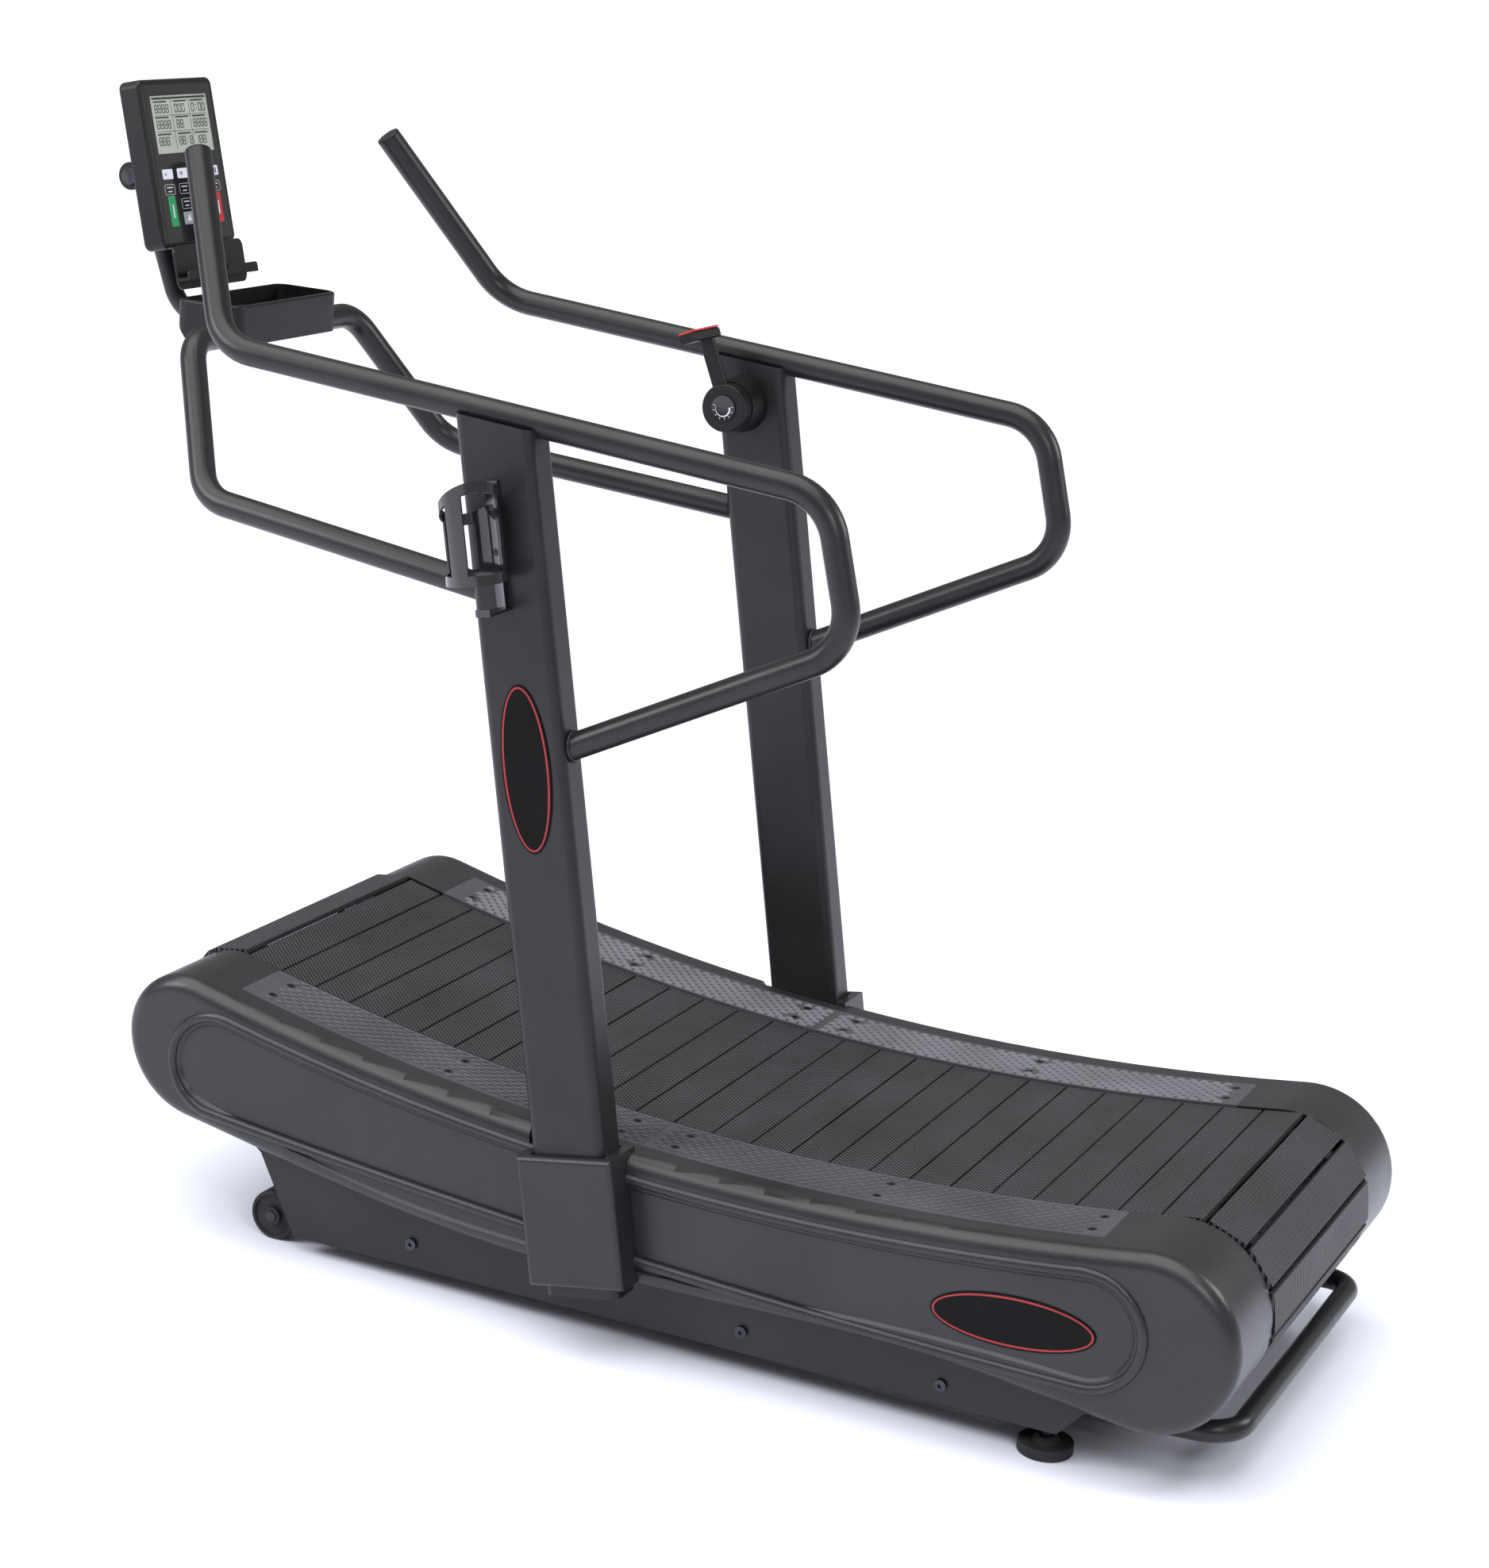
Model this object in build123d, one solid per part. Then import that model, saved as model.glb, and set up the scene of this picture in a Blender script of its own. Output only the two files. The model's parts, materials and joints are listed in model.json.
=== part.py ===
from build123d import *

import math
import os

# Curved manual treadmill, in millimetres.
# +X points forward, to the console; +Y to the runner's left; +Z up.
# The origin is on the floor, under the middle of the base and on the belt's centre plane.

os.makedirs("parts", exist_ok=True)

# ---------------------------------------------------------------- driving dimensions
# Running surface: one shallow arc between a small front drum and a larger rear drum
DECK_RADIUS = 3800
DECK_LOW_X = -117
DECK_LOW_Z = 296.7
DECK_CENTRE_Z = DECK_LOW_Z + DECK_RADIUS
FRONT_DRUM_X = 779
FRONT_DRUM_R = 86
REAR_DRUM_X = -746
REAR_DRUM_R = 123
SLAT_COUNT = 60
SLAT_LENGTH = 474
SLAT_THICKNESS = 8
SLAT_GAP = 3
ROLLER_BAR_LOW = 52
TOOTHED_BELT_THICKNESS = 10
TOOTHED_BELT_WIDTH = 30
TOOTHED_BELT_Y = 185
BELT_DROP = 0.2
RUNNING_GAP = 0.4
AXLE_R = 12.5
AXLE_FIT = 0.05

# Base
COVER_INNER_Y = 242
COVER_OUTER_Y = 400
COVER_WALL = 3
COVER_RISE = 2
COVER_EDGE_R = 24
PANEL_DROP = 40
PANEL_FRONT_R = 66
PANEL_REAR_R = 72
PANEL_DEPTH = 4
BORE_GAP = 0.05
FRAME_OUTER_Y = 360
FRAME_FLANGE_Y = 280
PLATE = 5
FRAME_BOLTS = ((382, 66), (133, 75), (-152, 70), (-453, 72))

# Foot rails
RAIL_INNER_Y = 243
RAIL_OUTER_Y = 348
RAIL_THICKNESS = 4
RAIL_FRONT_X = 700
RAIL_SPLIT_X = 32
RAIL_REAR_X = -655
RAIL_SCREW_X = (661, 359, 75, -10, -319, -629)
RAIL_SCREW_Y = (272, 322)

# Uprights lean forward; local Z runs along them from the foot
UPRIGHT_X0 = 66
UPRIGHT_Z0 = 90
UPRIGHT_LEAN = 10.6
UPRIGHT_Y = 401
UPRIGHT_DEPTH = 116
UPRIGHT_WIDTH = 60
UPRIGHT_LENGTH = 1250
TUBE_WALL = 2.5
BOOT_WIDTH = 150
BOOT_LOW = 18
BOOT_HIGH = 208
BOOT_OUTER_Y = 446

# Rails
HANDRAIL_R = 19
LOOP_R = 19
POST_R = 14
REAR_HANDLE_R = 16

# Console tilts back from the runner
CONSOLE_CENTRE = (1076.5, 0, 1536.5)
CONSOLE_TILT = 13.5
CONSOLE_WIDTH = 192
CONSOLE_HEIGHT = 252
CONSOLE_DEPTH = 40
PANEL_WIDTH = 172
PANEL_HEIGHT = 235
HINGE_X = 1158
HINGE_Z = 1508

# Resistance lever on the right upright's inner face
LEVER_X = 295
LEVER_Z = 1234
LEVER_LEAN = 23

# Brake
FLYWHEEL_X = 560
FLYWHEEL_Z = 268
FLYWHEEL_R = 70
CALIPER_PIVOT = (470, 192)
CABLE_EXIT = (88, -401, 188)

# Ground contact
WHEEL_X = 636
WHEEL_Y = 320
WHEEL_R = 38
FOOT_X = -598
FOOT_Y = 322
FOOT_R = 39


# ---------------------------------------------------------------- helpers
def deck_z(x, drop=0.0):
    """Height of the running surface at x, or of the arc that lies `drop` below it."""
    return DECK_CENTRE_Z - math.sqrt((DECK_RADIUS + drop) ** 2 - (x - DECK_LOW_X) ** 2)


def tangent_z(x, radius, drop=0.0):
    """Centre height of a circle at x that touches the arc `drop` below the surface."""
    reach = DECK_RADIUS + drop + radius
    return DECK_CENTRE_Z - math.sqrt(reach**2 - (x - DECK_LOW_X) ** 2)


FRONT_DRUM_Z = tangent_z(FRONT_DRUM_X, FRONT_DRUM_R)
REAR_DRUM_Z = tangent_z(REAR_DRUM_X, REAR_DRUM_R)


def write(name, *shapes):
    """Write one node: every shape's solids, as separate solids."""
    solids = [solid for shape in shapes for solid in shape.solids()]
    export_step(Compound(children=solids) if len(solids) > 1 else solids[0], f"parts/{name}.step")


def side_plane(y):
    """Sketch plane seen from the right side: local x is +X, local y is +Z, at height y."""
    return Plane(origin=(0, y, 0), x_dir=(1, 0, 0), z_dir=(0, -1, 0))


def prism(sketch, y_low, y_high):
    """Extrude a sketch drawn in x and z from y_low to y_high."""
    return extrude(side_plane(y_high) * sketch, y_high - y_low)


def along_y(radius, x, z, y_low, y_high):
    """A cylinder along Y."""
    middle = (y_low + y_high) / 2
    return Pos(x, middle, z) * Rot(90, 0, 0) * Cylinder(radius, y_high - y_low)


def mirrored(shape):
    """The same piece on the other side of the belt."""
    return mirror(shape, about=Plane.XZ)


def tube(points, radii, outer, wall=0.0):
    """A round tube, or a bar where wall is 0, along filleted straight runs."""
    route = FilletPolyline(*points, radius=list(radii)) if radii else Polyline(*points)
    start = Plane(origin=route @ 0, z_dir=route % 0)
    body = sweep(start * Circle(outer), path=route)
    if wall:
        body -= sweep(start * Circle(outer - wall), path=route)
    return body


def closed_face(*edges):
    """One face inside a closed chain of edges."""
    return make_face(edges)


def polar(centre, radius, angle):
    """The point on a circle at an angle in radians."""
    return (centre[0] + radius * math.cos(angle), centre[1] + radius * math.sin(angle))


def upright_frame():
    """Location of the left upright's local frame: local z runs up along it."""
    return Pos(UPRIGHT_X0, UPRIGHT_Y, UPRIGHT_Z0) * Rot(0, UPRIGHT_LEAN, 0)


def upright_x(z):
    """The upright's centre line at a height."""
    return UPRIGHT_X0 + (z - UPRIGHT_Z0) * math.tan(math.radians(UPRIGHT_LEAN))


def console_plane():
    """Plane of the console's face, seen by the runner: local x to the right, y up."""
    tilt = math.radians(CONSOLE_TILT)
    return Plane(origin=CONSOLE_CENTRE, x_dir=(0, -1, 0), z_dir=(-math.cos(tilt), 0, math.sin(tilt)))


# ---------------------------------------------------------------- the belt's loop
def lower_normal():
    """Direction of the lower run's outward normal, in radians."""
    dx = FRONT_DRUM_X - REAR_DRUM_X
    dz = FRONT_DRUM_Z - REAR_DRUM_Z
    spread = math.acos((REAR_DRUM_R - FRONT_DRUM_R) / math.hypot(dx, dz))
    return math.atan2(dz, dx) - spread


def deck_normal(x, z):
    """Outward normal angle where the deck arc is touched by a drum at (x, z)."""
    return math.atan2(DECK_CENTRE_Z - z, DECK_LOW_X - x)


FRONT_CENTRE = (FRONT_DRUM_X, FRONT_DRUM_Z)
REAR_CENTRE = (REAR_DRUM_X, REAR_DRUM_Z)
FRONT_TOP = deck_normal(*FRONT_CENTRE)
REAR_TOP = deck_normal(*REAR_CENTRE)
LOWER_NORMAL = lower_normal()


def loop_face(depth):
    """The area inside the belt's loop, at a depth below the tread surface."""
    front_r = FRONT_DRUM_R - depth
    rear_r = REAR_DRUM_R - depth
    top_front = polar(FRONT_CENTRE, front_r, FRONT_TOP)
    top_rear = polar(REAR_CENTRE, rear_r, REAR_TOP)
    low_front = polar(FRONT_CENTRE, front_r, LOWER_NORMAL)
    low_rear = polar(REAR_CENTRE, rear_r, LOWER_NORMAL)
    front_mid = polar(FRONT_CENTRE, front_r, (FRONT_TOP + LOWER_NORMAL) / 2)
    rear_mid = polar(REAR_CENTRE, rear_r, (REAR_TOP + LOWER_NORMAL) / 2 + math.pi)
    return closed_face(
        ThreePointArc(top_rear, (DECK_LOW_X, DECK_LOW_Z - depth), top_front),
        ThreePointArc(top_front, front_mid, low_front),
        Line(low_front, low_rear),
        ThreePointArc(low_rear, rear_mid, top_rear),
    )


def loop_stations():
    """Places and outward normals of the slats, evenly spaced where they meet the belts."""
    deck_centre = (DECK_LOW_X, DECK_CENTRE_Z)
    deck_r = DECK_RADIUS + SLAT_THICKNESS
    front_r = FRONT_DRUM_R - SLAT_THICKNESS
    rear_r = REAR_DRUM_R - SLAT_THICKNESS
    low_front = polar(FRONT_CENTRE, front_r, LOWER_NORMAL)
    low_rear = polar(REAR_CENTRE, rear_r, LOWER_NORMAL)
    top = deck_r * (FRONT_TOP - REAR_TOP)
    front = front_r * (FRONT_TOP - LOWER_NORMAL)
    lower = math.dist(low_front, low_rear)
    rear = rear_r * (2 * math.pi - REAR_TOP + LOWER_NORMAL)
    pitch = (top + front + lower + rear) / SLAT_COUNT
    stations = []
    for index in range(SLAT_COUNT):
        run = index * pitch
        if run < top:
            normal = REAR_TOP + run / deck_r
            place = polar(deck_centre, -deck_r, normal)
        elif run < top + front:
            normal = FRONT_TOP - (run - top) / front_r
            place = polar(FRONT_CENTRE, front_r, normal)
        elif run < top + front + lower:
            normal = LOWER_NORMAL
            share = (run - top - front) / lower
            place = tuple(a + (b - a) * share for a, b in zip(low_front, low_rear))
        else:
            normal = LOWER_NORMAL - (run - top - front - lower) / rear_r
            place = polar(REAR_CENTRE, rear_r, normal)
        stations.append((place, normal))
    return stations, pitch


def slats():
    """The tread slats: flat bars with eased upper edges, one behind the other round the loop."""
    stations, pitch = loop_stations()
    bar = Pos(0, 0, SLAT_THICKNESS / 2) * Box(pitch - SLAT_GAP, SLAT_LENGTH, SLAT_THICKNESS)
    bar = fillet(bar.edges().filter_by(Axis.Y).group_by(Axis.Z)[-1], 1.5)
    return [Pos(x, 0, z) * Rot(0, 90 - math.degrees(normal), 0) * bar for (x, z), normal in stations]


def toothed_belts():
    """Two rubber belts that carry the slats; each is a plain band round the loop."""
    outer = SLAT_THICKNESS + BELT_DROP
    band = loop_face(outer) - loop_face(outer + TOOTHED_BELT_THICKNESS)
    low = TOOTHED_BELT_Y - TOOTHED_BELT_WIDTH / 2
    left = prism(band, low, low + TOOTHED_BELT_WIDTH)
    return left, mirrored(left)


# ---------------------------------------------------------------- drums and bearings
def axle(x, z):
    """A drum's shaft, with stepped ends."""
    core = along_y(AXLE_R + 4, x, z, -300, 300)
    return core + along_y(AXLE_R, x, z, -352, 352)


def pulleys(x, z, drum_r):
    """Two belt pulleys of one drum: rim, web and hub."""
    rim_r = drum_r - SLAT_THICKNESS - BELT_DROP - TOOTHED_BELT_THICKNESS - RUNNING_GAP
    low = TOOTHED_BELT_Y - TOOTHED_BELT_WIDTH / 2 - 3
    high = TOOTHED_BELT_Y + TOOTHED_BELT_WIDTH / 2 + 3
    wheel = along_y(rim_r, x, z, low, high)
    for face_low, face_high in ((low - 1, low + 12), (high - 12, high + 1)):
        wheel -= along_y(rim_r - 8, x, z, face_low, face_high) - along_y(30, x, z, face_low, face_high)
    wheel -= along_y(AXLE_R + 4, x, z, low - 1, high + 1)
    return wheel, mirrored(wheel)


def flange_bearings():
    """Four flange bearing units on the side frames' inner faces."""
    units = []
    inner = FRAME_OUTER_Y - PLATE
    for x, z in (FRONT_CENTRE, REAR_CENTRE):
        flange = Pos(x, inner - 5, z) * Rot(90, 0, 0) * extrude(RectangleRounded(78, 78, 14), 5, both=True)
        unit = flange + along_y(30, x, z, inner - 28, inner - 5)
        unit -= along_y(AXLE_R + AXLE_FIT, x, z, inner - 40, inner + 5)
        units += [unit, mirrored(unit)]
    return units


# ---------------------------------------------------------------- base frame
FRAME_FOOT = ((646, 145), (583, 26), (-623, 46), (-673, 102))


def frame_web():
    """The side plate from the floor frame up to both axles."""
    top_front = (730, deck_z(730, 44))
    top_rear = (-700, deck_z(-700, 44))
    outline = closed_face(
        Polyline(
            top_rear,
            (-800, 262),
            (-806, 205),
            (-745, 158),
            FRAME_FOOT[3],
            FRAME_FOOT[2],
            FRAME_FOOT[1],
            FRAME_FOOT[0],
            (805, 262),
            (824, 316),
            (790, 358),
            top_front,
        ),
        ThreePointArc(top_front, (DECK_LOW_X, DECK_LOW_Z - 44), top_rear),
    )
    return prism(outline, FRAME_OUTER_Y - PLATE, FRAME_OUTER_Y)


def rail_brackets():
    """Angle brackets on the left side plate, under the foot rail's screws."""
    brackets = []
    inner = FRAME_OUTER_Y - PLATE
    for x in RAIL_SCREW_X:
        under = min(deck_z(x - 14, RAIL_THICKNESS), deck_z(x + 14, RAIL_THICKNESS)) - 0.2
        shelf = Pos(x, (260 + inner) / 2, under - 2) * Box(28, inner - 260, 4)
        leg = Pos(x, inner - 2, under - 34) * Box(28, 4, 68)
        bracket = shelf + leg
        for y in RAIL_SCREW_Y:
            bracket -= Pos(x, y, under) * Cylinder(3.1, 20)
        brackets.append(bracket)
    return brackets


def side_frame(left):
    """One folded side frame: web, and a channel turned inward along the floor."""
    foot = closed_face(Polyline(*FRAME_FOOT, close=True))
    inside = closed_face(Polyline((636, 139.6), (580, 31), (-621, 51), (-664, 97.3), close=True))
    fold = prism(foot, FRAME_FLANGE_Y, FRAME_OUTER_Y)
    fold -= prism(inside, FRAME_FLANGE_Y - 1, FRAME_OUTER_Y - PLATE)
    body = frame_web() + fold + rail_brackets()
    for x, z in (FRONT_CENTRE, REAR_CENTRE):
        body -= along_y(AXLE_R + 2, x, z, FRAME_OUTER_Y - 20, FRAME_OUTER_Y + 10)
    for x, z in FRAME_BOLTS:
        body -= along_y(5, x, z, FRAME_OUTER_Y - 10, FRAME_OUTER_Y + 10)
    body -= Pos(FOOT_X, FOOT_Y, 50) * Cylinder(6.2, 30)
    if not left:
        body = mirrored(body)
        for radius, x, z in (
            (8, CABLE_EXIT[0], CABLE_EXIT[2]),
            (8.1, FLYWHEEL_X, FLYWHEEL_Z),
            (6.1, *CALIPER_PIVOT),
        ):
            body -= along_y(radius, x, z, -FRAME_OUTER_Y - 10, -FRAME_OUTER_Y + 10)
    return body


def frame_bolts():
    """Button-head bolts on the outside of both side frames."""
    heads = []
    for x, z in FRAME_BOLTS:
        bolt = along_y(9, x, z, FRAME_OUTER_Y, FRAME_OUTER_Y + 5)
        bolt -= along_y(3, x, z, FRAME_OUTER_Y + 2, FRAME_OUTER_Y + 6)
        bolt += along_y(4.9, x, z, FRAME_OUTER_Y - 12, FRAME_OUTER_Y)
        heads += [bolt, mirrored(bolt)]
    return heads


def cross_members():
    """Square tubes across the base: four inside the belt's loop and two below it."""
    reach = FRAME_OUTER_Y - PLATE
    bars = []
    size = 40
    for x in (430, 120, -360, -585):
        top = min(deck_z(x - size / 2, ROLLER_BAR_LOW), deck_z(x + size / 2, ROLLER_BAR_LOW)) - 0.2
        bar = Box(size, 2 * reach, size) - Box(size - 5, 2 * reach + 2, size - 5)
        bars.append(Pos(x, 0, top - size / 2) * bar)
    for x, z in ((500, 34), (-540, 52)):
        bar = Box(50, 2 * reach, 30) - Box(45, 2 * reach + 2, 25)
        bars.append(Pos(x, 0, z + 15) * bar)
    return bars


def arc_strip(low_x, high_x, top, bottom):
    """The area between two arcs that lie `top` and `bottom` below the running surface."""
    top_ends = [(x, deck_z(x, top)) for x in (low_x, high_x)]
    bottom_ends = [(x, deck_z(x, bottom)) for x in (low_x, high_x)]
    middle_x = (low_x + high_x) / 2
    return closed_face(
        ThreePointArc(bottom_ends[0], (middle_x, deck_z(middle_x, bottom)), bottom_ends[1]),
        Line(bottom_ends[1], top_ends[1]),
        ThreePointArc(top_ends[1], (middle_x, deck_z(middle_x, top)), top_ends[0]),
        Line(top_ends[0], bottom_ends[0]),
    )


def roller_bars():
    """Two curved bars that carry the deck rollers."""
    bar = prism(arc_strip(-650, 700, 20, ROLLER_BAR_LOW), 206, 212)
    return bar, mirrored(bar)


def deck_rollers():
    """Small rollers along the bars, just under the slats."""
    radius = 11
    count = 22
    rollers = []
    for index in range(count):
        x = -635 + index * 1320 / (count - 1)
        z = deck_z(x, SLAT_THICKNESS + radius + RUNNING_GAP)
        roller = along_y(radius, x, z, 213, 226) + along_y(4, x, z, 212, 213)
        rollers += [roller, mirrored(roller)]
    return rollers


def rear_handle():
    """U-shaped lifting bar behind the base, welded to the side frames' ends."""
    points = [(-630, 300, 67), (-850, 300, 83), (-850, -300, 83), (-630, -300, 67)]
    foot = closed_face(Polyline(*FRAME_FOOT, close=True))
    frames = prism(foot, -FRAME_OUTER_Y, FRAME_OUTER_Y)
    return tube(points, (46, 46), REAR_HANDLE_R, TUBE_WALL) - frames


# ---------------------------------------------------------------- side covers
def cover_face(inset=0.0):
    """Outline of a side cover, seen from the side."""
    front = (772, tangent_z(772, 95, -COVER_RISE))
    front_r = 95 - inset
    chin = (742, front[1])
    chin_r = 125 - inset
    rear = (-740, tangent_z(-740, 128, -COVER_RISE))
    rear_r = 128 - inset
    front_up = deck_normal(*front)
    rear_up = deck_normal(*rear)
    nose = polar(front, front_r, 0)
    chin_end = polar(chin, chin_r, math.radians(-81))
    heel = polar(rear, rear_r, math.radians(-84))
    crown = (DECK_LOW_X, DECK_LOW_Z + COVER_RISE - inset)
    return closed_face(
        ThreePointArc(polar(rear, rear_r, rear_up), crown, polar(front, front_r, front_up)),
        ThreePointArc(polar(front, front_r, front_up), polar(front, front_r, front_up / 2), nose),
        ThreePointArc(nose, polar(chin, chin_r, math.radians(-40)), chin_end),
        Spline(
            chin_end,
            (480, 135 + inset),
            (200, 108 + inset),
            (-100, 113 + inset),
            (-450, 120 + inset),
            heel,
            tangents=((-1, -0.158), (-1, -0.105)),
        ),
        ThreePointArc(heel, polar(rear, rear_r, math.pi), polar(rear, rear_r, rear_up)),
    )


def panel_face(inset=0.0):
    """Outline of the recessed panel in a side cover."""
    front = (706, tangent_z(706, PANEL_FRONT_R, PANEL_DROP))
    rear = (-657, tangent_z(-657, PANEL_REAR_R, PANEL_DROP))
    front_r = PANEL_FRONT_R - inset
    rear_r = PANEL_REAR_R - inset
    front_up = deck_normal(*front)
    rear_up = deck_normal(*rear)
    front_low = polar(front, front_r, math.radians(-76))
    rear_low = polar(rear, rear_r, math.radians(-88))
    crown = (DECK_LOW_X, DECK_LOW_Z - PANEL_DROP - inset)
    return closed_face(
        ThreePointArc(polar(rear, rear_r, rear_up), crown, polar(front, front_r, front_up)),
        ThreePointArc(polar(front, front_r, front_up), polar(front, front_r, 0), front_low),
        Spline(
            front_low,
            (450, 153 + inset),
            (180, 131 + inset),
            (-120, 137 + inset),
            rear_low,
            tangents=((-1, -0.23), (-1, -0.035)),
        ),
        ThreePointArc(rear_low, polar(rear, rear_r, math.pi), polar(rear, rear_r, rear_up)),
    )


def rail_seat():
    """Space of the left foot rail, with clearance, through the cover's top."""
    clearance = 0.4
    face = arc_strip(RAIL_REAR_X - clearance, RAIL_FRONT_X + clearance, -30, RAIL_THICKNESS)
    return prism(face, RAIL_INNER_Y - 30, RAIL_OUTER_Y + clearance)


def boot_block(width, y_low, y_high, low, high):
    """A block in the left upright's frame, for the boot and the gap that it fills."""
    block = Box(width, y_high - y_low, high - low)
    return upright_frame() * Pos(0, (y_low + y_high) / 2 - UPRIGHT_Y, (low + high) / 2) * block


def side_cover():
    """Left moulded shell: rounded outer edge, recessed panel, open inside and below."""
    shell = prism(cover_face(), COVER_INNER_Y, COVER_OUTER_Y)
    outer_edges = shell.faces().sort_by(Axis.Y)[-1].edges()
    shell = fillet(outer_edges, COVER_EDGE_R)
    hollow = prism(cover_face(COVER_WALL), COVER_INNER_Y - 2, COVER_OUTER_Y - COVER_WALL - 5)
    shell -= fillet(hollow.faces().sort_by(Axis.Y)[-1].edges(), COVER_EDGE_R - COVER_WALL)
    floor_face = side_plane(COVER_OUTER_Y - PANEL_DEPTH) * panel_face(PANEL_DEPTH + 1)
    shell -= loft([floor_face, side_plane(COVER_OUTER_Y + 1) * panel_face()], ruled=True)
    floor_low, floor_high = COVER_INNER_Y - 5, 368.5
    floor = Pos(7, (floor_low + floor_high) / 2, 120) * Box(1396, floor_high - floor_low, 130)
    shell -= floor
    shell -= rail_seat()
    shell -= boot_block(BOOT_WIDTH + 0.8, 368, 420, -40, 330)
    return shell


def foot_rails():
    """Left foot rail in two lengths, with countersinks for its screws."""
    gap = 0.4
    lengths = []
    for low, high in ((RAIL_SPLIT_X + gap, RAIL_FRONT_X), (RAIL_REAR_X, RAIL_SPLIT_X - gap)):
        length = prism(arc_strip(low, high, -COVER_RISE, RAIL_THICKNESS), RAIL_INNER_Y, RAIL_OUTER_Y)
        for x in RAIL_SCREW_X:
            for y in RAIL_SCREW_Y:
                length -= Pos(x, y, deck_z(x) + COVER_RISE) * Cylinder(6.5, 5)
                length -= Pos(x, y, deck_z(x)) * Cylinder(3, 40)
        lengths.append(length)
    return lengths


def rail_screws():
    """Screws of the left foot rail: recessed heads with a driver hole."""
    screws = []
    for x in RAIL_SCREW_X:
        for y in RAIL_SCREW_Y:
            top = deck_z(x) + COVER_RISE
            screw = Pos(x, y, top - 1.5) * Cylinder(6.3, 2) + Pos(x, y, top - 9) * Cylinder(2.9, 14)
            screws.append(screw - Pos(x, y, top) * Cylinder(2.2, 3))
    return screws


def boot():
    """Left boot: a moulded sleeve over the upright's foot."""
    sleeve = boot_block(BOOT_WIDTH, 369, BOOT_OUTER_Y, BOOT_LOW, BOOT_HIGH)
    outer = sleeve.faces().sort_by(Axis.Y)[-1].edges()
    sleeve = fillet(outer, 8)
    return sleeve - boot_block(UPRIGHT_DEPTH + 0.8, 360, UPRIGHT_Y + UPRIGHT_WIDTH / 2 + 0.4, -60, 400)


# ---------------------------------------------------------------- uprights and rails
HANDRAIL_POINTS = (
    (884, 262, 1583),
    (740, 400, 1340),
    (-190, 401, 1271),
    (-243, 401, 1076),
    (190, 401, 851.5),
)
LOOP_POINTS = (
    (262, 400, 1062),
    (799, 341, 1108),
    (911, 222, 1307),
    (911, -222, 1307),
    (799, -341, 1108),
    (262, -400, 1062),
)


def loop_bar(wall):
    """Front loop as a tube, or as a solid bar where wall is 0."""
    return tube(LOOP_POINTS, (72, 60, 60, 72), LOOP_R, wall)


def upright(left):
    """One upright: rounded box tube with a bolting pad at its foot, coped under the handrail."""
    section = RectangleRounded(UPRIGHT_DEPTH, UPRIGHT_WIDTH, 14)
    hollow = RectangleRounded(UPRIGHT_DEPTH - 6, UPRIGHT_WIDTH - 6, 11)
    body = extrude(section, UPRIGHT_LENGTH) - Pos(0, 0, -1) * extrude(hollow, UPRIGHT_LENGTH + 2)
    inner_face = UPRIGHT_Y - UPRIGHT_WIDTH / 2
    pad_depth = inner_face - FRAME_OUTER_Y
    pad = Pos(0, -UPRIGHT_WIDTH / 2 - pad_depth / 2, 105) * Box(84, pad_depth, 170)
    body = upright_frame() * (body + pad)
    rail_high, rail_low = HANDRAIL_POINTS[1:3]
    top_run = tube((rail_high, rail_low), (), HANDRAIL_R)
    rail_slope = math.degrees(math.atan2(rail_high[2] - rail_low[2], rail_high[0] - rail_low[0]))
    rail_z = rail_low[2] + (290 - rail_low[0]) * math.tan(math.radians(rail_slope))
    above = Pos(290, UPRIGHT_Y, rail_z) * Rot(0, -rail_slope, 0) * Pos(0, 0, 54) * Box(300, 100, 120)
    body -= above + top_run
    if not left:
        body = mirrored(body)
        body -= along_y(8, CABLE_EXIT[0], CABLE_EXIT[2], -inner_face - 5, -FRAME_OUTER_Y + 5)
        body -= along_y(6, CABLE_POINTS[0][0], CABLE_POINTS[0][2], -inner_face - 5, -inner_face + 5)
    return body


def handrail():
    """Left handrail with both ends clear of the upright's bore."""
    rail = tube(HANDRAIL_POINTS, (85, 80, 75), HANDRAIL_R, TUBE_WALL)
    keep_out = upright_frame() * Pos(0, 0, 700) * Box(UPRIGHT_DEPTH, UPRIGHT_WIDTH, 500)
    return rail - keep_out


def front_loop():
    """Front loop, cut off at the uprights' front faces."""
    loop = loop_bar(TUBE_WALL)
    keep_out = upright_frame() * Pos(0, 0, 980) * Box(UPRIGHT_DEPTH, UPRIGHT_WIDTH + 40, 400)
    return loop - keep_out - mirrored(keep_out)


def rail_caps():
    """Rounded plugs in the grips' open ends."""
    tip = Vector(*HANDRAIL_POINTS[0])
    bend = Vector(*HANDRAIL_POINTS[1])
    head = extrude(Circle(HANDRAIL_R), 4)
    head = fillet(head.faces().sort_by(Axis.Z)[-1].edges(), 2.5)
    plug = head + extrude(Circle(HANDRAIL_R - TUBE_WALL), -20)
    cap = Plane(origin=tip, z_dir=(tip - bend).normalized()).location * plug
    return cap, mirrored(cap)


# ---------------------------------------------------------------- console
KNUCKLE_R = 21
HINGE_BOLT_R = 6


def console_post():
    """Curved post from the loop's crossbar to the tilt hinge, with its knuckle."""
    points = [(928, 0, 1304), (1082, 0, 1304), (HINGE_X, 0, HINGE_Z)]
    post = tube(points, (62,), POST_R, 2)
    knuckle = along_y(KNUCKLE_R, HINGE_X, HINGE_Z, -20, 20)
    post -= knuckle
    post -= loop_bar(0)
    return post + knuckle - along_y(HINGE_BOLT_R + BORE_GAP, HINGE_X, HINGE_Z, -30, 30)


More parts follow.
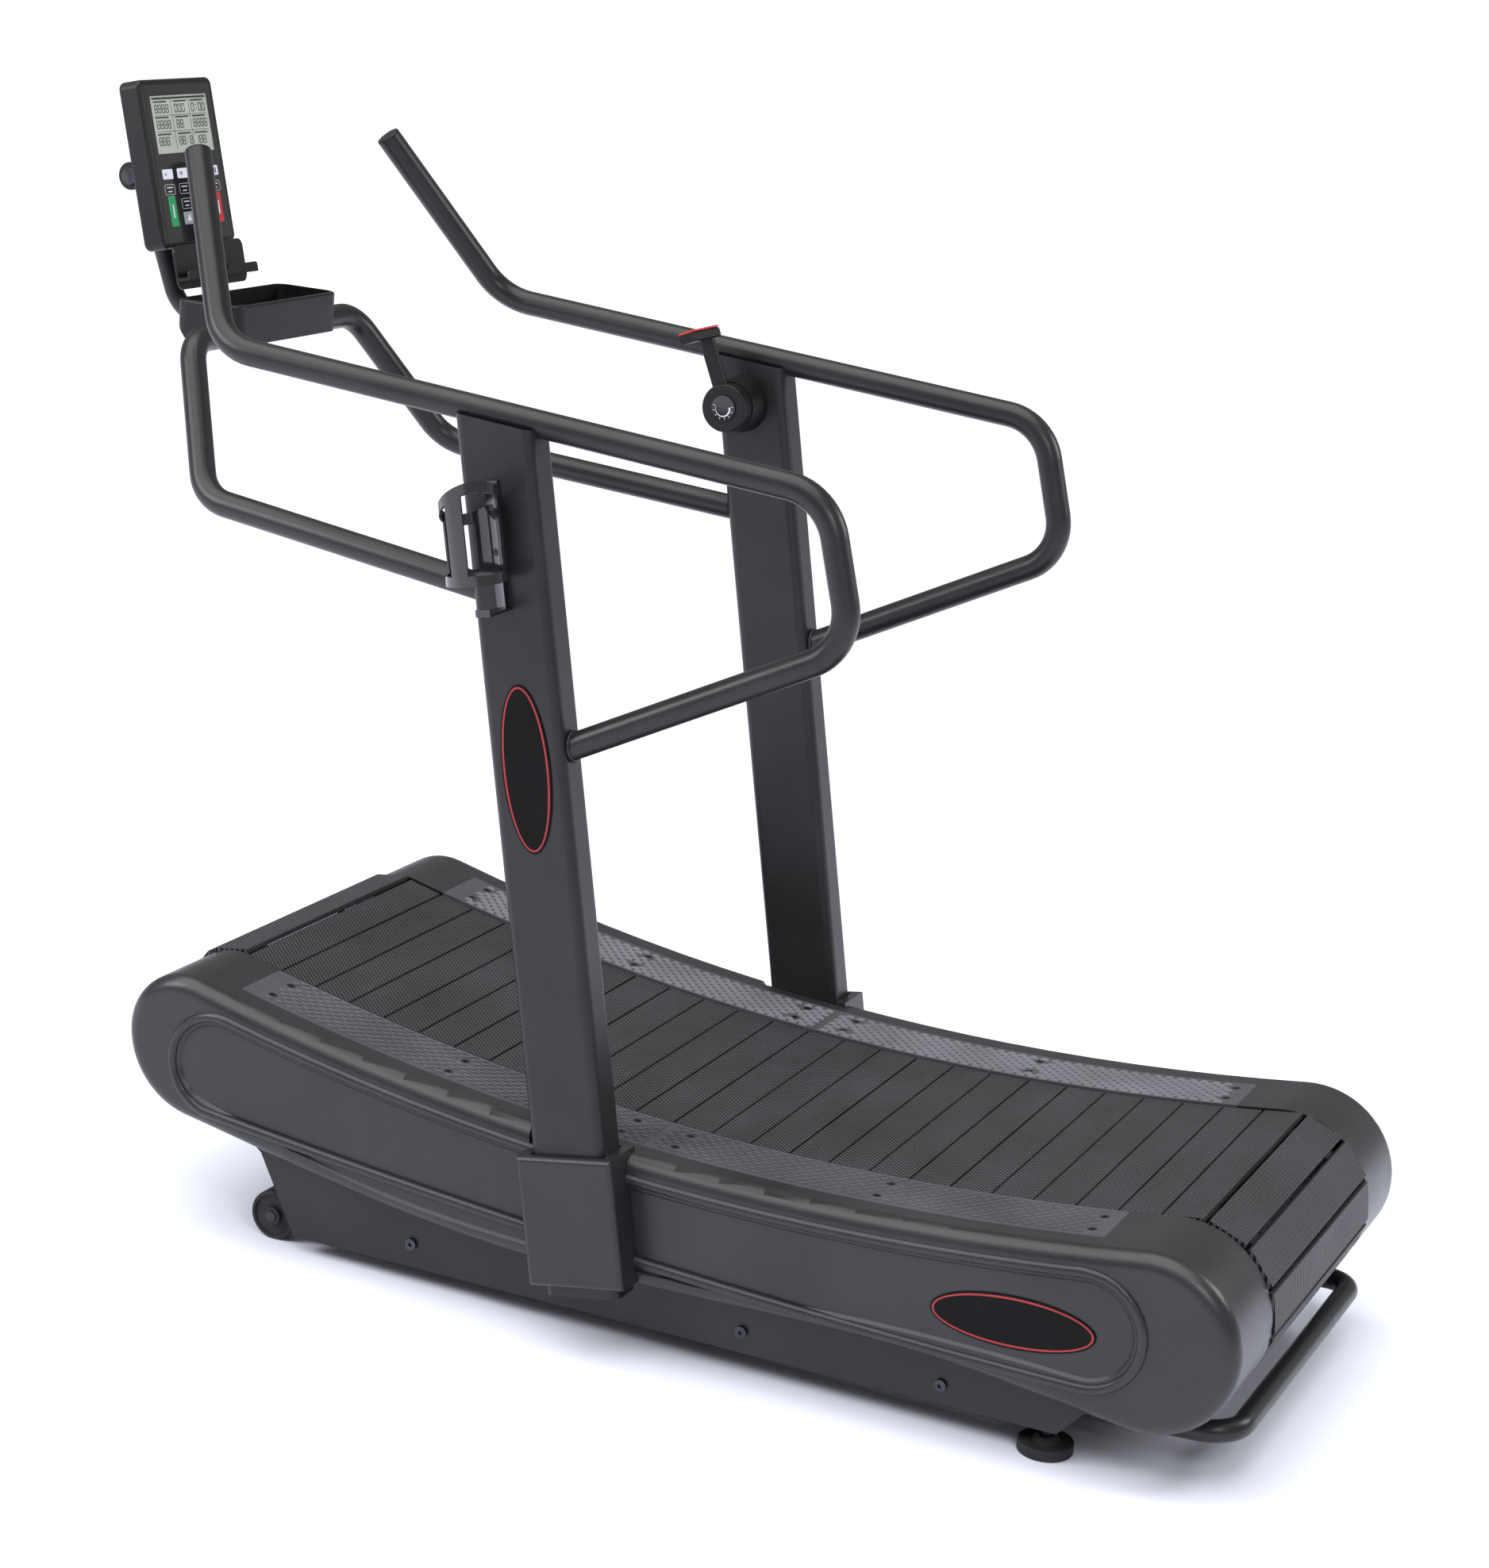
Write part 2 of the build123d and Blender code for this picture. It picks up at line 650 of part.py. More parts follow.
def console_rear_shell():
    """Rear half of the console with the two hinge lugs and the arm of the phone holder."""
    face = console_plane()
    outline = RectangleRounded(CONSOLE_WIDTH, CONSOLE_HEIGHT, 12)
    window = RectangleRounded(PANEL_WIDTH + 0.6, PANEL_HEIGHT + 0.6, 8)
    inside = RectangleRounded(CONSOLE_WIDTH - 8, CONSOLE_HEIGHT - 8, 9)
    body = extrude(face * outline, -CONSOLE_DEPTH)
    body = fillet(body.faces().sort_by(Axis.X)[-1].edges(), 7)
    body -= extrude(face * Pos(0, 0, -5) * inside, -CONSOLE_DEPTH + 9)
    body -= extrude(face * Pos(0, 0, -8) * window, 10)
    body -= along_y(25, HINGE_X, HINGE_Z, -60, 60)
    for low, high in ((22, 34), (-34, -22)):
        lug = along_y(KNUCKLE_R, HINGE_X, HINGE_Z, low, high)
        arm = Pos(HINGE_X / 2 + 554, (low + high) / 2, HINGE_Z - 1) * Box(50, high - low, 30)
        body += lug + (arm - along_y(KNUCKLE_R - 1, HINGE_X, HINGE_Z, low - 1, high + 1))
    body -= along_y(HINGE_BOLT_R + BORE_GAP, HINGE_X, HINGE_Z, -40, 40)
    return body


def hinge_bolt():
    """Bolt through the tilt hinge, with a round head on each side."""
    bolt = along_y(HINGE_BOLT_R, HINGE_X, HINGE_Z, -34, 34)
    for low, high in ((34, 39), (-39, -34)):
        bolt += along_y(13, HINGE_X, HINGE_Z, low, high)
    return bolt


KEY_COLUMNS = (-60, -22, 22, 60)
DISPLAY_SIZE = (148, 86)
DISPLAY_Y = 58
KEYS = {
    "key_quick_1": (KEY_COLUMNS[0], -15.5, 26, 15),
    "key_quick_2": (KEY_COLUMNS[1], -15.5, 26, 15),
    "key_quick_3": (KEY_COLUMNS[2], -15.5, 26, 15),
    "key_quick_4": (KEY_COLUMNS[3], -15.5, 26, 15),
    "key_start": (KEY_COLUMNS[0], -71, 18, 46),
    "key_up": (KEY_COLUMNS[1], -83, 26, 19),
    "key_down": (KEY_COLUMNS[2], -83, 26, 19),
    "key_stop": (KEY_COLUMNS[3], -71, 18, 46),
}


def console_front_panel():
    """Glossy front panel with a display window and a hole for each key."""
    face = console_plane()
    outline = RectangleRounded(PANEL_WIDTH, PANEL_HEIGHT, 7)
    panel = extrude(face * Pos(0, 0, -4) * outline, 4)
    window = Rectangle(DISPLAY_SIZE[0] + 0.4, DISPLAY_SIZE[1] + 0.4)
    panel -= extrude(face * Pos(0, DISPLAY_Y, -6) * window, 8)
    for x, y, width, height in KEYS.values():
        panel -= extrude(face * Pos(x, y, -6) * RectangleRounded(width + 0.8, height + 0.8, 2.4), 8)
    panel += extrude(face * Pos(0, 0, -8) * outline, 1.2)
    for y in (-112, 8, 108):
        panel += extrude(face * Pos(0, y, -6.8) * Rectangle(PANEL_WIDTH - 8, 4), 2.8)
    return panel


def console_display():
    """Liquid-crystal display, just below the panel's face."""
    return extrude(console_plane() * Pos(0, DISPLAY_Y, -6.8) * Rectangle(*DISPLAY_SIZE), 6.0)


def console_key(x, y, width, height):
    """A key cap that stands a little proud of the panel."""
    key = extrude(console_plane() * Pos(x, y, -3.4) * RectangleRounded(width, height, 2), 4.2)
    return fillet(key.faces().sort_by(Axis.X)[0].edges(), 0.5)


PHONE_WIDTH = 184


def phone_holder():
    """Back plate and ledge under the console, hung from the console's rear shell."""
    face = console_plane()
    plate_y = -CONSOLE_HEIGHT / 2 - 29
    plate = extrude(face * Pos(0, plate_y, 7) * RectangleRounded(PHONE_WIDTH, 66, 12), 4)
    ledge = extrude(face * Pos(0, plate_y - 18, 11) * Rectangle(PHONE_WIDTH, 5), 22)
    lip = extrude(face * Pos(0, plate_y - 13, 29) * RectangleRounded(PHONE_WIDTH, 15, 5), 4)
    notch = extrude(face * Pos(0, plate_y - 2, 28) * Circle(14), 6)
    block = extrude(face * Pos(0, -CONSOLE_HEIGHT / 2 - 12, -18) * Rectangle(60, 24), 25)
    return plate + ledge + lip - notch + block


TRAY_FRONT_X = 998
TRAY_DEPTH = 112
TRAY_WIDTH = 284


def utility_tray():
    """Open tray clipped over the loop's crossbar, with a step in its floor."""
    middle = TRAY_FRONT_X - TRAY_DEPTH / 2
    body = Pos(middle, 0, 1322) * Box(TRAY_DEPTH, TRAY_WIDTH, 60)
    body = fillet(body.edges().filter_by(Axis.Z), 22)
    body = fillet(body.faces().sort_by(Axis.Z)[-1].edges(), 4)
    cavity = Pos(middle, 0, 1352) * Box(TRAY_DEPTH - 14, TRAY_WIDTH - 14, 44)
    body -= fillet(cavity.edges().filter_by(Axis.Z), 16)
    for side in (1, -1):
        deep = Pos(965, side * 78, 1332) * Box(52, 112, 50)
        body -= fillet(deep.edges().filter_by(Axis.Z), 12)
    body -= loop_bar(0)
    body -= Pos(990, 0, 1299) * Box(140, 2 * POST_R + 0.8, 2 * POST_R + 14)
    wedge = Pos(TRAY_FRONT_X, 0, 1292) * Rot(0, 45, 0) * Box(34, TRAY_WIDTH + 16, 34)
    return body - wedge


# ---------------------------------------------------------------- resistance lever and brake
BOSS_R = 21
BOSS_END_Y = -306


def lever_base():
    """Tapered housing on the right upright's inner face, with the boss that holds the dial."""
    low = -UPRIGHT_Y + UPRIGHT_WIDTH / 2
    cone = Pos(LEVER_X, low + 20.5, LEVER_Z) * Rot(-90, 0, 0) * Cone(44, 39, 41)
    cable_bore = along_y(3.2, CABLE_POINTS[0][0], CABLE_POINTS[0][2], low - 1, low + 16)
    return cone + along_y(BOSS_R, LEVER_X, LEVER_Z, low + 40, BOSS_END_Y) - cable_bore


def lever_arm():
    """Hub ring and arm of the lever, turning round the base's boss."""
    ring = along_y(37, LEVER_X, LEVER_Z, -329.5, BOSS_END_Y)
    ring = fillet(ring.faces().sort_by(Axis.Y)[-1].edges(), 3)
    bar = Pos(0, 0, 70) * Box(24, 10, 76)
    bar = fillet(bar.edges().filter_by(Axis.Z), 3)
    arm = Pos(LEVER_X, -318, LEVER_Z) * Rot(0, LEVER_LEAN, 0) * bar
    return ring + arm - along_y(BOSS_R + 0.3, LEVER_X, LEVER_Z, -335, -300)


def grip_block(low, high, drop, rise):
    """A rounded block across the lever's end, in the lever's own lean."""
    block = Pos(0, (low + high) / 2, 108 + (drop + rise) / 2) * Box(24, high - low, rise - drop)
    block = fillet(block.edges().filter_by(Axis.Y), 4 if rise - drop > 8 else 1)
    return Pos(LEVER_X, 0, LEVER_Z) * Rot(0, LEVER_LEAN, 0) * block


def lever_dial():
    """Round scale plate on the boss."""
    return along_y(BOSS_R - 1, LEVER_X, LEVER_Z, BOSS_END_Y, BOSS_END_Y + 2)


CALIPER_PIN_R = 6
CALIPER_REST_TILT = 8


def caliper():
    """Magnet yoke: two cheeks either side of the flywheel's rim, on a pivoted arm."""
    x, z = CALIPER_PIVOT
    centre = (FLYWHEEL_X, FLYWHEEL_Z)
    start, finish = math.radians(222), math.radians(292)
    outer, inner = FLYWHEEL_R + 17, FLYWHEEL_R - 12
    angles = (start, (start + finish) / 2, finish)
    outside = [polar(centre, outer, angle) for angle in angles]
    inside = [polar(centre, inner, angle) for angle in reversed(angles)]
    sector = closed_face(
        ThreePointArc(*outside),
        Line(outside[-1], inside[0]),
        ThreePointArc(*inside),
        Line(inside[-1], outside[0]),
    )
    yoke = prism(sector, -330, -292)
    yoke -= along_y(FLYWHEEL_R + 10, FLYWHEEL_X, FLYWHEEL_Z, -325, -297)
    arm_corners = (
        (x - 4, z + 11),
        polar(centre, outer - 4, start),
        polar(centre, outer - 2, start + 0.25),
        (x + 2, z - 12),
    )
    arm = prism(closed_face(Polyline(*arm_corners, close=True)), -330, -326)
    eye = along_y(12, x, z, -330, -318)
    body = yoke + arm + eye - along_y(CALIPER_PIN_R + BORE_GAP, x, z, -340, -300)
    return Pos(x, 0, z) * Rot(0, CALIPER_REST_TILT, 0) * Pos(-x, 0, -z) * body


def brake_bracket():
    """Fixed stub shafts of the flywheel and caliper and the cable's stop, on the right frame."""
    inner = -FRAME_OUTER_Y + PLATE
    stub = along_y(FLYWHEEL_SHAFT_R, FLYWHEEL_X, FLYWHEEL_Z, -FRAME_OUTER_Y, -262)
    stub += along_y(18, FLYWHEEL_X, FLYWHEEL_Z, inner, inner + 8)
    pin = along_y(CALIPER_PIN_R, *CALIPER_PIVOT, -FRAME_OUTER_Y, -314)
    pin += along_y(13, *CALIPER_PIVOT, inner, -331)
    stop = Pos(432, (inner - 300) / 2, 186) * Box(12, -300 - inner, 20)
    stop -= Pos(432, -308, 185.5) * Rot(0, 90, 0) * Cylinder(3.4, 20)
    return stub, pin, stop


FLYWHEEL_SHAFT_R = 8
DRIVE_PULLEY_R = 60
SMALL_PULLEY_R = 22


def flywheel():
    """Flywheel with its small ribbed pulley, in one turning."""
    disc = along_y(FLYWHEEL_R, FLYWHEEL_X, FLYWHEEL_Z, -322, -300)
    disc -= along_y(FLYWHEEL_R - 14, FLYWHEEL_X, FLYWHEEL_Z, -306, -299)
    hub = along_y(SMALL_PULLEY_R, FLYWHEEL_X, FLYWHEEL_Z, -322, -264)
    return disc + hub - along_y(FLYWHEEL_SHAFT_R + BORE_GAP, FLYWHEEL_X, FLYWHEEL_Z, -330, -255)


def drive_pulley():
    """Large ribbed pulley on the front axle."""
    wheel = along_y(DRIVE_PULLEY_R, FRONT_DRUM_X, FRONT_DRUM_Z, -284, -264)
    for low, high in ((-285, -278), (-270, -263)):
        recess = along_y(DRIVE_PULLEY_R - 8, FRONT_DRUM_X, FRONT_DRUM_Z, low, high)
        wheel -= recess - along_y(26, FRONT_DRUM_X, FRONT_DRUM_Z, low, high)
    return wheel - along_y(AXLE_R + 4, FRONT_DRUM_X, FRONT_DRUM_Z, -290, -260)


def ribbed_belt():
    """Ribbed belt from the drive pulley to the flywheel's pulley."""
    large, small = (FRONT_DRUM_X, FRONT_DRUM_Z), (FLYWHEEL_X, FLYWHEEL_Z)
    heading = math.atan2(large[1] - small[1], large[0] - small[0])
    reach = math.dist(large, small)

    def band(depth):
        large_r, small_r = DRIVE_PULLEY_R + depth, SMALL_PULLEY_R + depth
        spread = math.acos((small_r - large_r) / reach)
        up, down = heading + spread, heading - spread
        large_arc = [polar(large, large_r, angle) for angle in (up, heading, down)]
        small_arc = [polar(small, small_r, angle) for angle in (down, heading + math.pi, up)]
        return closed_face(
            Line(small_arc[-1], large_arc[0]),
            ThreePointArc(*large_arc),
            Line(large_arc[-1], small_arc[0]),
            ThreePointArc(*small_arc),
        )

    return prism(band(RUNNING_GAP + 3) - band(RUNNING_GAP), -282, -266)


CABLE_POINTS = (
    (291, -357, 1214),
    (291, -401, 1214),
    (upright_x(330), -401, 330),
    CABLE_EXIT,
    (92, -322, 182),
    (180, -308, 176),
    (446, -308, 186),
)
CABLE_RADII = (26, 150, 32, 34, 60)
CABLE_R = 2.5


def brake_cable():
    """Brake cable: down inside the right upright, in through the frame and forward to its stop."""
    route = FilletPolyline(*CABLE_POINTS, radius=list(CABLE_RADII))
    cable = tube(CABLE_POINTS, CABLE_RADII, CABLE_R)
    expected = route.length * math.pi * CABLE_R**2
    print(f"brake cable: length {route.length:.0f} mm, radii {CABLE_RADII}")
    print(f"brake cable: volume / (section * length) {cable.volume / expected:.4f}")
    return cable


# ---------------------------------------------------------------- wheels, feet, cage, badges
WHEEL_PIN_R = 8


def wheel():
    """Left transport wheel with a hub boss."""
    body = along_y(WHEEL_R, WHEEL_X, WHEEL_R, WHEEL_Y - 15, WHEEL_Y + 15)
    body = fillet(body.edges().filter_by(GeomType.CIRCLE), 3)
    body -= along_y(WHEEL_R - 6, WHEEL_X, WHEEL_R, WHEEL_Y + 12, WHEEL_Y + 16)
    body += along_y(14, WHEEL_X, WHEEL_R, WHEEL_Y + 12, WHEEL_Y + 20)
    return body - along_y(WHEEL_PIN_R + BORE_GAP, WHEEL_X, WHEEL_R, WHEEL_Y - 30, WHEEL_Y + 30)


def wheel_axle():
    """Left wheel's axle with the ear that carries it, welded to the side frame."""
    pin = along_y(WHEEL_PIN_R, WHEEL_X, WHEEL_R, WHEEL_Y - 26, FRAME_OUTER_Y - 18)
    corners = ((WHEEL_X + 14, 22), (WHEEL_X + 14, 60), (645, 143.1), (588.3, 36))
    ear = prism(closed_face(Polyline(*corners, close=True)), WHEEL_Y - 26, WHEEL_Y - 20)
    return pin + ear


STEM_R = 6


def foot():
    """Left levelling foot: rubber pad and threaded stem."""
    pad = Pos(FOOT_X, FOOT_Y, 8) * Cylinder(FOOT_R, 16)
    pad = fillet(pad.edges().filter_by(GeomType.CIRCLE), 2.5)
    pad += Pos(FOOT_X, FOOT_Y, 20) * Cone(20, 12, 8)
    return pad + Pos(FOOT_X, FOOT_Y, 54) * Cylinder(STEM_R, 60)


def foot_nut():
    """Left foot's lock nut, under the side frame's flange."""
    nut = extrude(Pos(FOOT_X, FOOT_Y, 36) * RegularPolygon(11, 6), 9)
    return nut - Pos(FOOT_X, FOOT_Y, 38) * Cylinder(STEM_R + 0.1, 20)


CAGE_R = 38
CAGE_WALL = 3
CAGE_HEIGHT = 200
CAGE_SCREWS = (80, 140)


def cage_frame():
    """The bottle's own frame on the left upright's outer face: local z runs along the upright."""
    return upright_frame() * Pos(22, UPRIGHT_WIDTH / 2 + CAGE_R + CAGE_WALL + 2, 978)


def bottle_cage():
    """Moulded bottle cage: slanted top ring, lower band, back, front strap, strut and toe."""
    on_floor = (Align.CENTER, Align.CENTER, Align.MIN)
    shell = Cylinder(CAGE_R + CAGE_WALL, CAGE_HEIGHT, align=on_floor)
    shell -= Cylinder(CAGE_R, CAGE_HEIGHT, align=on_floor)
    slant = Pos(0, 0, 158) * Rot(24, 22, 0)
    above = slant * Pos(0, 0, 100) * Box(300, 300, 200)
    below_ring = slant * Pos(0, 0, -112) * Box(300, 300, 200)
    above_band = Pos(0, 0, 158) * Box(300, 300, 200)
    between = below_ring & above_band
    back = Pos(-10, -CAGE_R - 5, 90) * Box(48, 40, 260)
    strap = Pos(2, CAGE_R, 90) * Box(26, 30, 260)
    strut = Pos(CAGE_R, 0, 90) * Box(20, 7, 260)
    below_band = Pos(0, 0, -56) * Box(300, 300, 200)
    low_keep = Pos(-14, -CAGE_R - 5, 20) * Box(16, 40, 120)
    cage = shell - above - (between - back - strap - strut) - (below_band - low_keep)
    toe = Pos(-14, -CAGE_R - CAGE_WALL - 2 + 30, 2) * Box(22, 60, 4)
    toe += Pos(-14, -CAGE_R - CAGE_WALL - 2 + 58, 7) * Box(22, 4, 14)
    pad = Pos(-14, -CAGE_R - CAGE_WALL, 88) * Box(20, 4, 176)
    cage += toe + pad
    cage -= Cylinder(CAGE_R - 0.5, 300) & Pos(0, 0, 160) * Box(200, 200, 300)
    for height in CAGE_SCREWS:
        cage -= Pos(-14, -CAGE_R + 9, height) * Rot(90, 0, 0) * Cylinder(5.2, 20)
    return cage_frame() * cage


def cage_screws():
    """Two screws that hold the bottle cage."""
    head = Rot(90, 0, 0) * Cylinder(4.5, 3)
    return [cage_frame() * Pos(-14, -CAGE_R + 0.5, height) * head for height in CAGE_SCREWS]


def badge(length, width, thickness):
    """A plain oval plate with eased edges."""
    plate = extrude(Ellipse(length / 2, width / 2), thickness)
    return fillet(plate.faces().sort_by(Axis.Z)[-1].edges(), thickness * 0.4)


def badges():
    """Oval plates on the left upright and on both side covers."""
    plate = badge(236, 76, 2)
    upright_place = upright_frame() * Pos(0, UPRIGHT_WIDTH / 2, 758)
    on_upright = upright_place * Rot(-90, 0, 0) * Rot(0, 0, 90) * plate
    cover_place = Pos(-557, COVER_OUTER_Y - PANEL_DEPTH, 207)
    on_cover = cover_place * Rot(0, 3.5, 0) * Rot(-90, 0, 0) * plate
    return on_upright, mirrored(on_upright), on_cover, mirrored(on_cover)


# ---------------------------------------------------------------- build
def build_tread():
    write("slats", *slats())
    write("toothed_belts", *toothed_belts())
    write("front_axle", axle(*FRONT_CENTRE))
    write("front_pulleys", *pulleys(*FRONT_CENTRE, FRONT_DRUM_R))
    write("rear_axle", axle(*REAR_CENTRE))
    write("rear_pulleys", *pulleys(*REAR_CENTRE, REAR_DRUM_R))
    write("axle_bearings", *flange_bearings())
    write("roller_bars", *roller_bars())
    write("deck_rollers", *deck_rollers())


def build_base():
    write("side_frame_left", side_frame(True))
    write("side_frame_right", side_frame(False))
    write("frame_bolts", *frame_bolts())
    write("cross_members", *cross_members())
    write("rear_handle", rear_handle())
    cover = side_cover()
    write("side_cover_left", cover)
    write("side_cover_right", mirrored(cover))
    rails = foot_rails()
    write("foot_rail_left", *rails)
    write("foot_rail_right", *[mirrored(rail) for rail in rails])
    screws = rail_screws()
    write("screws", *screws, *[mirrored(screw) for screw in screws], *cage_screws())
    write("upright_boots", boot(), mirrored(boot()))
    write("wheel_left", wheel())
    write("wheel_right", mirrored(wheel()))
    write("wheel_axles", wheel_axle(), mirrored(wheel_axle()))
    write("foot_left", foot())
    write("foot_right", mirrored(foot()))
    write("foot_nuts", foot_nut(), mirrored(foot_nut()))
    write("badges", *badges())


def build_rails():
    write("upright_left", upright(True))
    write("upright_right", upright(False))
    rail = handrail()
    write("handrail_left", rail)
    write("handrail_right", mirrored(rail))
    write("rail_end_caps", *rail_caps())
    write("front_loop", front_loop())
    write("bottle_cage", bottle_cage())


def build_console():
    write("console_post", console_post())
    write("console_rear_shell", console_rear_shell())
    write("console_front_panel", console_front_panel())
    write("console_display", console_display())
    write("hinge_bolt", hinge_bolt())
    write("phone_holder", phone_holder())
    write("utility_tray", utility_tray())
    for name, place in KEYS.items():
        write(name, console_key(*place))


def build_brake():
    write("lever_base", lever_base())
    write("lever_arm", lever_arm())
    write("lever_grip", grip_block(-346, -252, 0, 15))
    write("lever_grip_insert", grip_block(-344, -254, 15, 18))
    write("lever_dial", lever_dial())
    write("brake_caliper", caliper())
    write("brake_bracket", *brake_bracket())
    write("flywheel", flywheel())
    write("drive_pulley", drive_pulley())
    write("ribbed_belt", ribbed_belt())
    write("brake_cable", brake_cable())


build_tread()
build_base()
build_rails()
build_console()
build_brake()
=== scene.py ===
import json
import math

import bmesh
import bpy
from mathutils import Matrix, Vector


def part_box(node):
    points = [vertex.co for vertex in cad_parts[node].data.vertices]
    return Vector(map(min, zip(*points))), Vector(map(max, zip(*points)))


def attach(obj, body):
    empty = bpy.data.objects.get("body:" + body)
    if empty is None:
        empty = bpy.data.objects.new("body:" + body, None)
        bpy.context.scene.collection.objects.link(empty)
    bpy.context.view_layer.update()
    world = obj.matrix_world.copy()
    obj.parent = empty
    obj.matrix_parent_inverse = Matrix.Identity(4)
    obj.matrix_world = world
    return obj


# Looks of the curved manual treadmill: metres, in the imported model's own frame.
# +X forward, +Y the runner's left, +Z up.

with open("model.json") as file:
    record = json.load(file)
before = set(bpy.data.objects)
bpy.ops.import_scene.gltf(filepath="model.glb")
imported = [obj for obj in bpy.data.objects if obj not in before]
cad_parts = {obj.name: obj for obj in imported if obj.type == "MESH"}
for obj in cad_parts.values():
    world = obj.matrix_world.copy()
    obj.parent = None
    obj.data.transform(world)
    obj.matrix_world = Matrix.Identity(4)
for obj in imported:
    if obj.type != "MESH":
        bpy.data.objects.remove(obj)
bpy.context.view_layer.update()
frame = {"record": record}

# ---------------------------------------------------------------- places taken from the frame
RAIL_LOW, RAIL_HIGH = (Vector(corner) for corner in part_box("foot_rail_left"))
COVER_OUTER_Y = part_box("side_cover_left")[1][1]
JOINTS = {joint["name"]: joint for joint in frame["record"]["behaviour"]["joints"]}
LEVER_HUB = Vector(JOINTS["resistance_lever"]["pos_m"])

# Tread arc: its radius and lowest point
DECK_RADIUS = 3.8
DECK_LOW_X = -0.117
DECK_LOW_Z = 0.2967

# Console face: its middle and its tilt back from upright
CONSOLE_CENTRE = Vector((1.0765, 0.0, 1.5365))
CONSOLE_TILT = math.radians(13.5)

# Uprights lean forward from their feet
UPRIGHT_FOOT = Vector((0.066, 0.401, 0.090))
UPRIGHT_LEAN = math.radians(10.6)

# Thickness of printed marks
INK = 0.0002

# How brightly the white surroundings light the object
WORLD_LIGHT = 0.32

# Camera
CAMERA_PLACE = Vector((-1.8591, 4.3451, 2.0736))
CAMERA_RIGHT = Vector((-0.90178, -0.42493, 0.0789))
CAMERA_UP = Vector((0.18377, -0.21177, 0.95989))
CAMERA_LENS = 77.41


# ---------------------------------------------------------------- helpers
def deck_z(x, drop=0.0):
    """Height of the tread surface at x, or of the arc that lies `drop` below it."""
    centre_z = DECK_LOW_Z + DECK_RADIUS
    return centre_z - math.sqrt((DECK_RADIUS + drop) ** 2 - (x - DECK_LOW_X) ** 2)


def deck_slope(x):
    """Slope angle of the tread surface at x."""
    return math.asin((x - DECK_LOW_X) / DECK_RADIUS)


def new_piece(name, mesh_maker, material, body):
    """Build one mesh piece with bmesh, give it its material and let it ride on a body."""
    mesh = bpy.data.meshes.new(name)
    work = bmesh.new()
    mesh_maker(work)
    bmesh.ops.recalc_face_normals(work, faces=work.faces)
    work.to_mesh(mesh)
    work.free()
    piece = bpy.data.objects.new(name, mesh)
    bpy.context.collection.objects.link(piece)
    mesh.materials.append(material)
    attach(piece, body)
    return piece


def smooth(piece, angle=35):
    """Smooth a piece's faces, except across edges sharper than an angle in degrees."""
    piece.data.shade_smooth()
    piece.data.set_sharp_from_angle(angle=math.radians(angle))
    return piece


def add_slab(work, outline, height, place):
    """A flat slab: a 2-D outline at z = 0, raised by `height`, moved by a matrix."""
    low = [work.verts.new(place @ Vector((x, y, 0))) for x, y in outline]
    high = [work.verts.new(place @ Vector((x, y, height))) for x, y in outline]
    work.faces.new(high)
    work.faces.new(list(reversed(low)))
    for index in range(len(outline)):
        after = (index + 1) % len(outline)
        work.faces.new((low[index], low[after], high[after], high[index]))


def add_band(work, outer, inner, height, place):
    """A flat ring between two closed outlines with the same number of points."""
    rings = []
    for outline, z in ((outer, 0), (outer, height), (inner, height), (inner, 0)):
        rings.append([work.verts.new(place @ Vector((x, y, z))) for x, y in outline])
    count = len(outer)
    for first, second in zip(rings, rings[1:] + rings[:1]):
        for index in range(count):
            after = (index + 1) % count
            work.faces.new((first[index], first[after], second[after], second[index]))


def add_tube(work, path, radius, sides=10):
    """A closed round bead that follows a closed path."""
    rings = []
    count = len(path)
    for index, point in enumerate(path):
        along = (path[(index + 1) % count] - path[index - 1]).normalized()
        if index == 0:
            across = along.orthogonal()
        across = (across - along * across.dot(along)).normalized()
        upward = along.cross(across)
        ring = []
        for side in range(sides):
            angle = 2 * math.pi * side / sides
            offset = math.cos(angle) * across + math.sin(angle) * upward
            ring.append(work.verts.new(point + radius * offset))
        rings.append(ring)
    for index in range(count):
        after = rings[(index + 1) % count]
        for side in range(sides):
            beside = (side + 1) % sides
            work.faces.new((rings[index][side], rings[index][beside], after[beside], after[side]))


def rectangle(width, height, x=0.0, y=0.0, corner=0.0):
    """Outline of a rectangle round (x, y), with rounded corners if asked."""
    half_w, half_h = width / 2 - corner, height / 2 - corner
    steps = 4 if corner else 0
    outline = []
    for quarter, (sx, sy) in enumerate(((1, 1), (-1, 1), (-1, -1), (1, -1))):
        for step in range(steps + 1):
            angle = math.radians(90 * quarter + 22.5 * step)
            corner_x = x + sx * half_w + corner * math.cos(angle)
            corner_y = y + sy * half_h + corner * math.sin(angle)
            outline.append((corner_x, corner_y))
    return outline


def console_matrix(x=0.0, y=0.0, lift=0.0):
    """Matrix of a place on the console's face: x to the runner's right, y up, z to the runner."""
    right = Vector((0, -1, 0))
    out = Vector((-math.cos(CONSOLE_TILT), 0, math.sin(CONSOLE_TILT)))
    up = out.cross(right)
    turn = Matrix((right, up, out)).transposed().to_4x4()
    return Matrix.Translation(CONSOLE_CENTRE + right * x + up * y + out * lift) @ turn


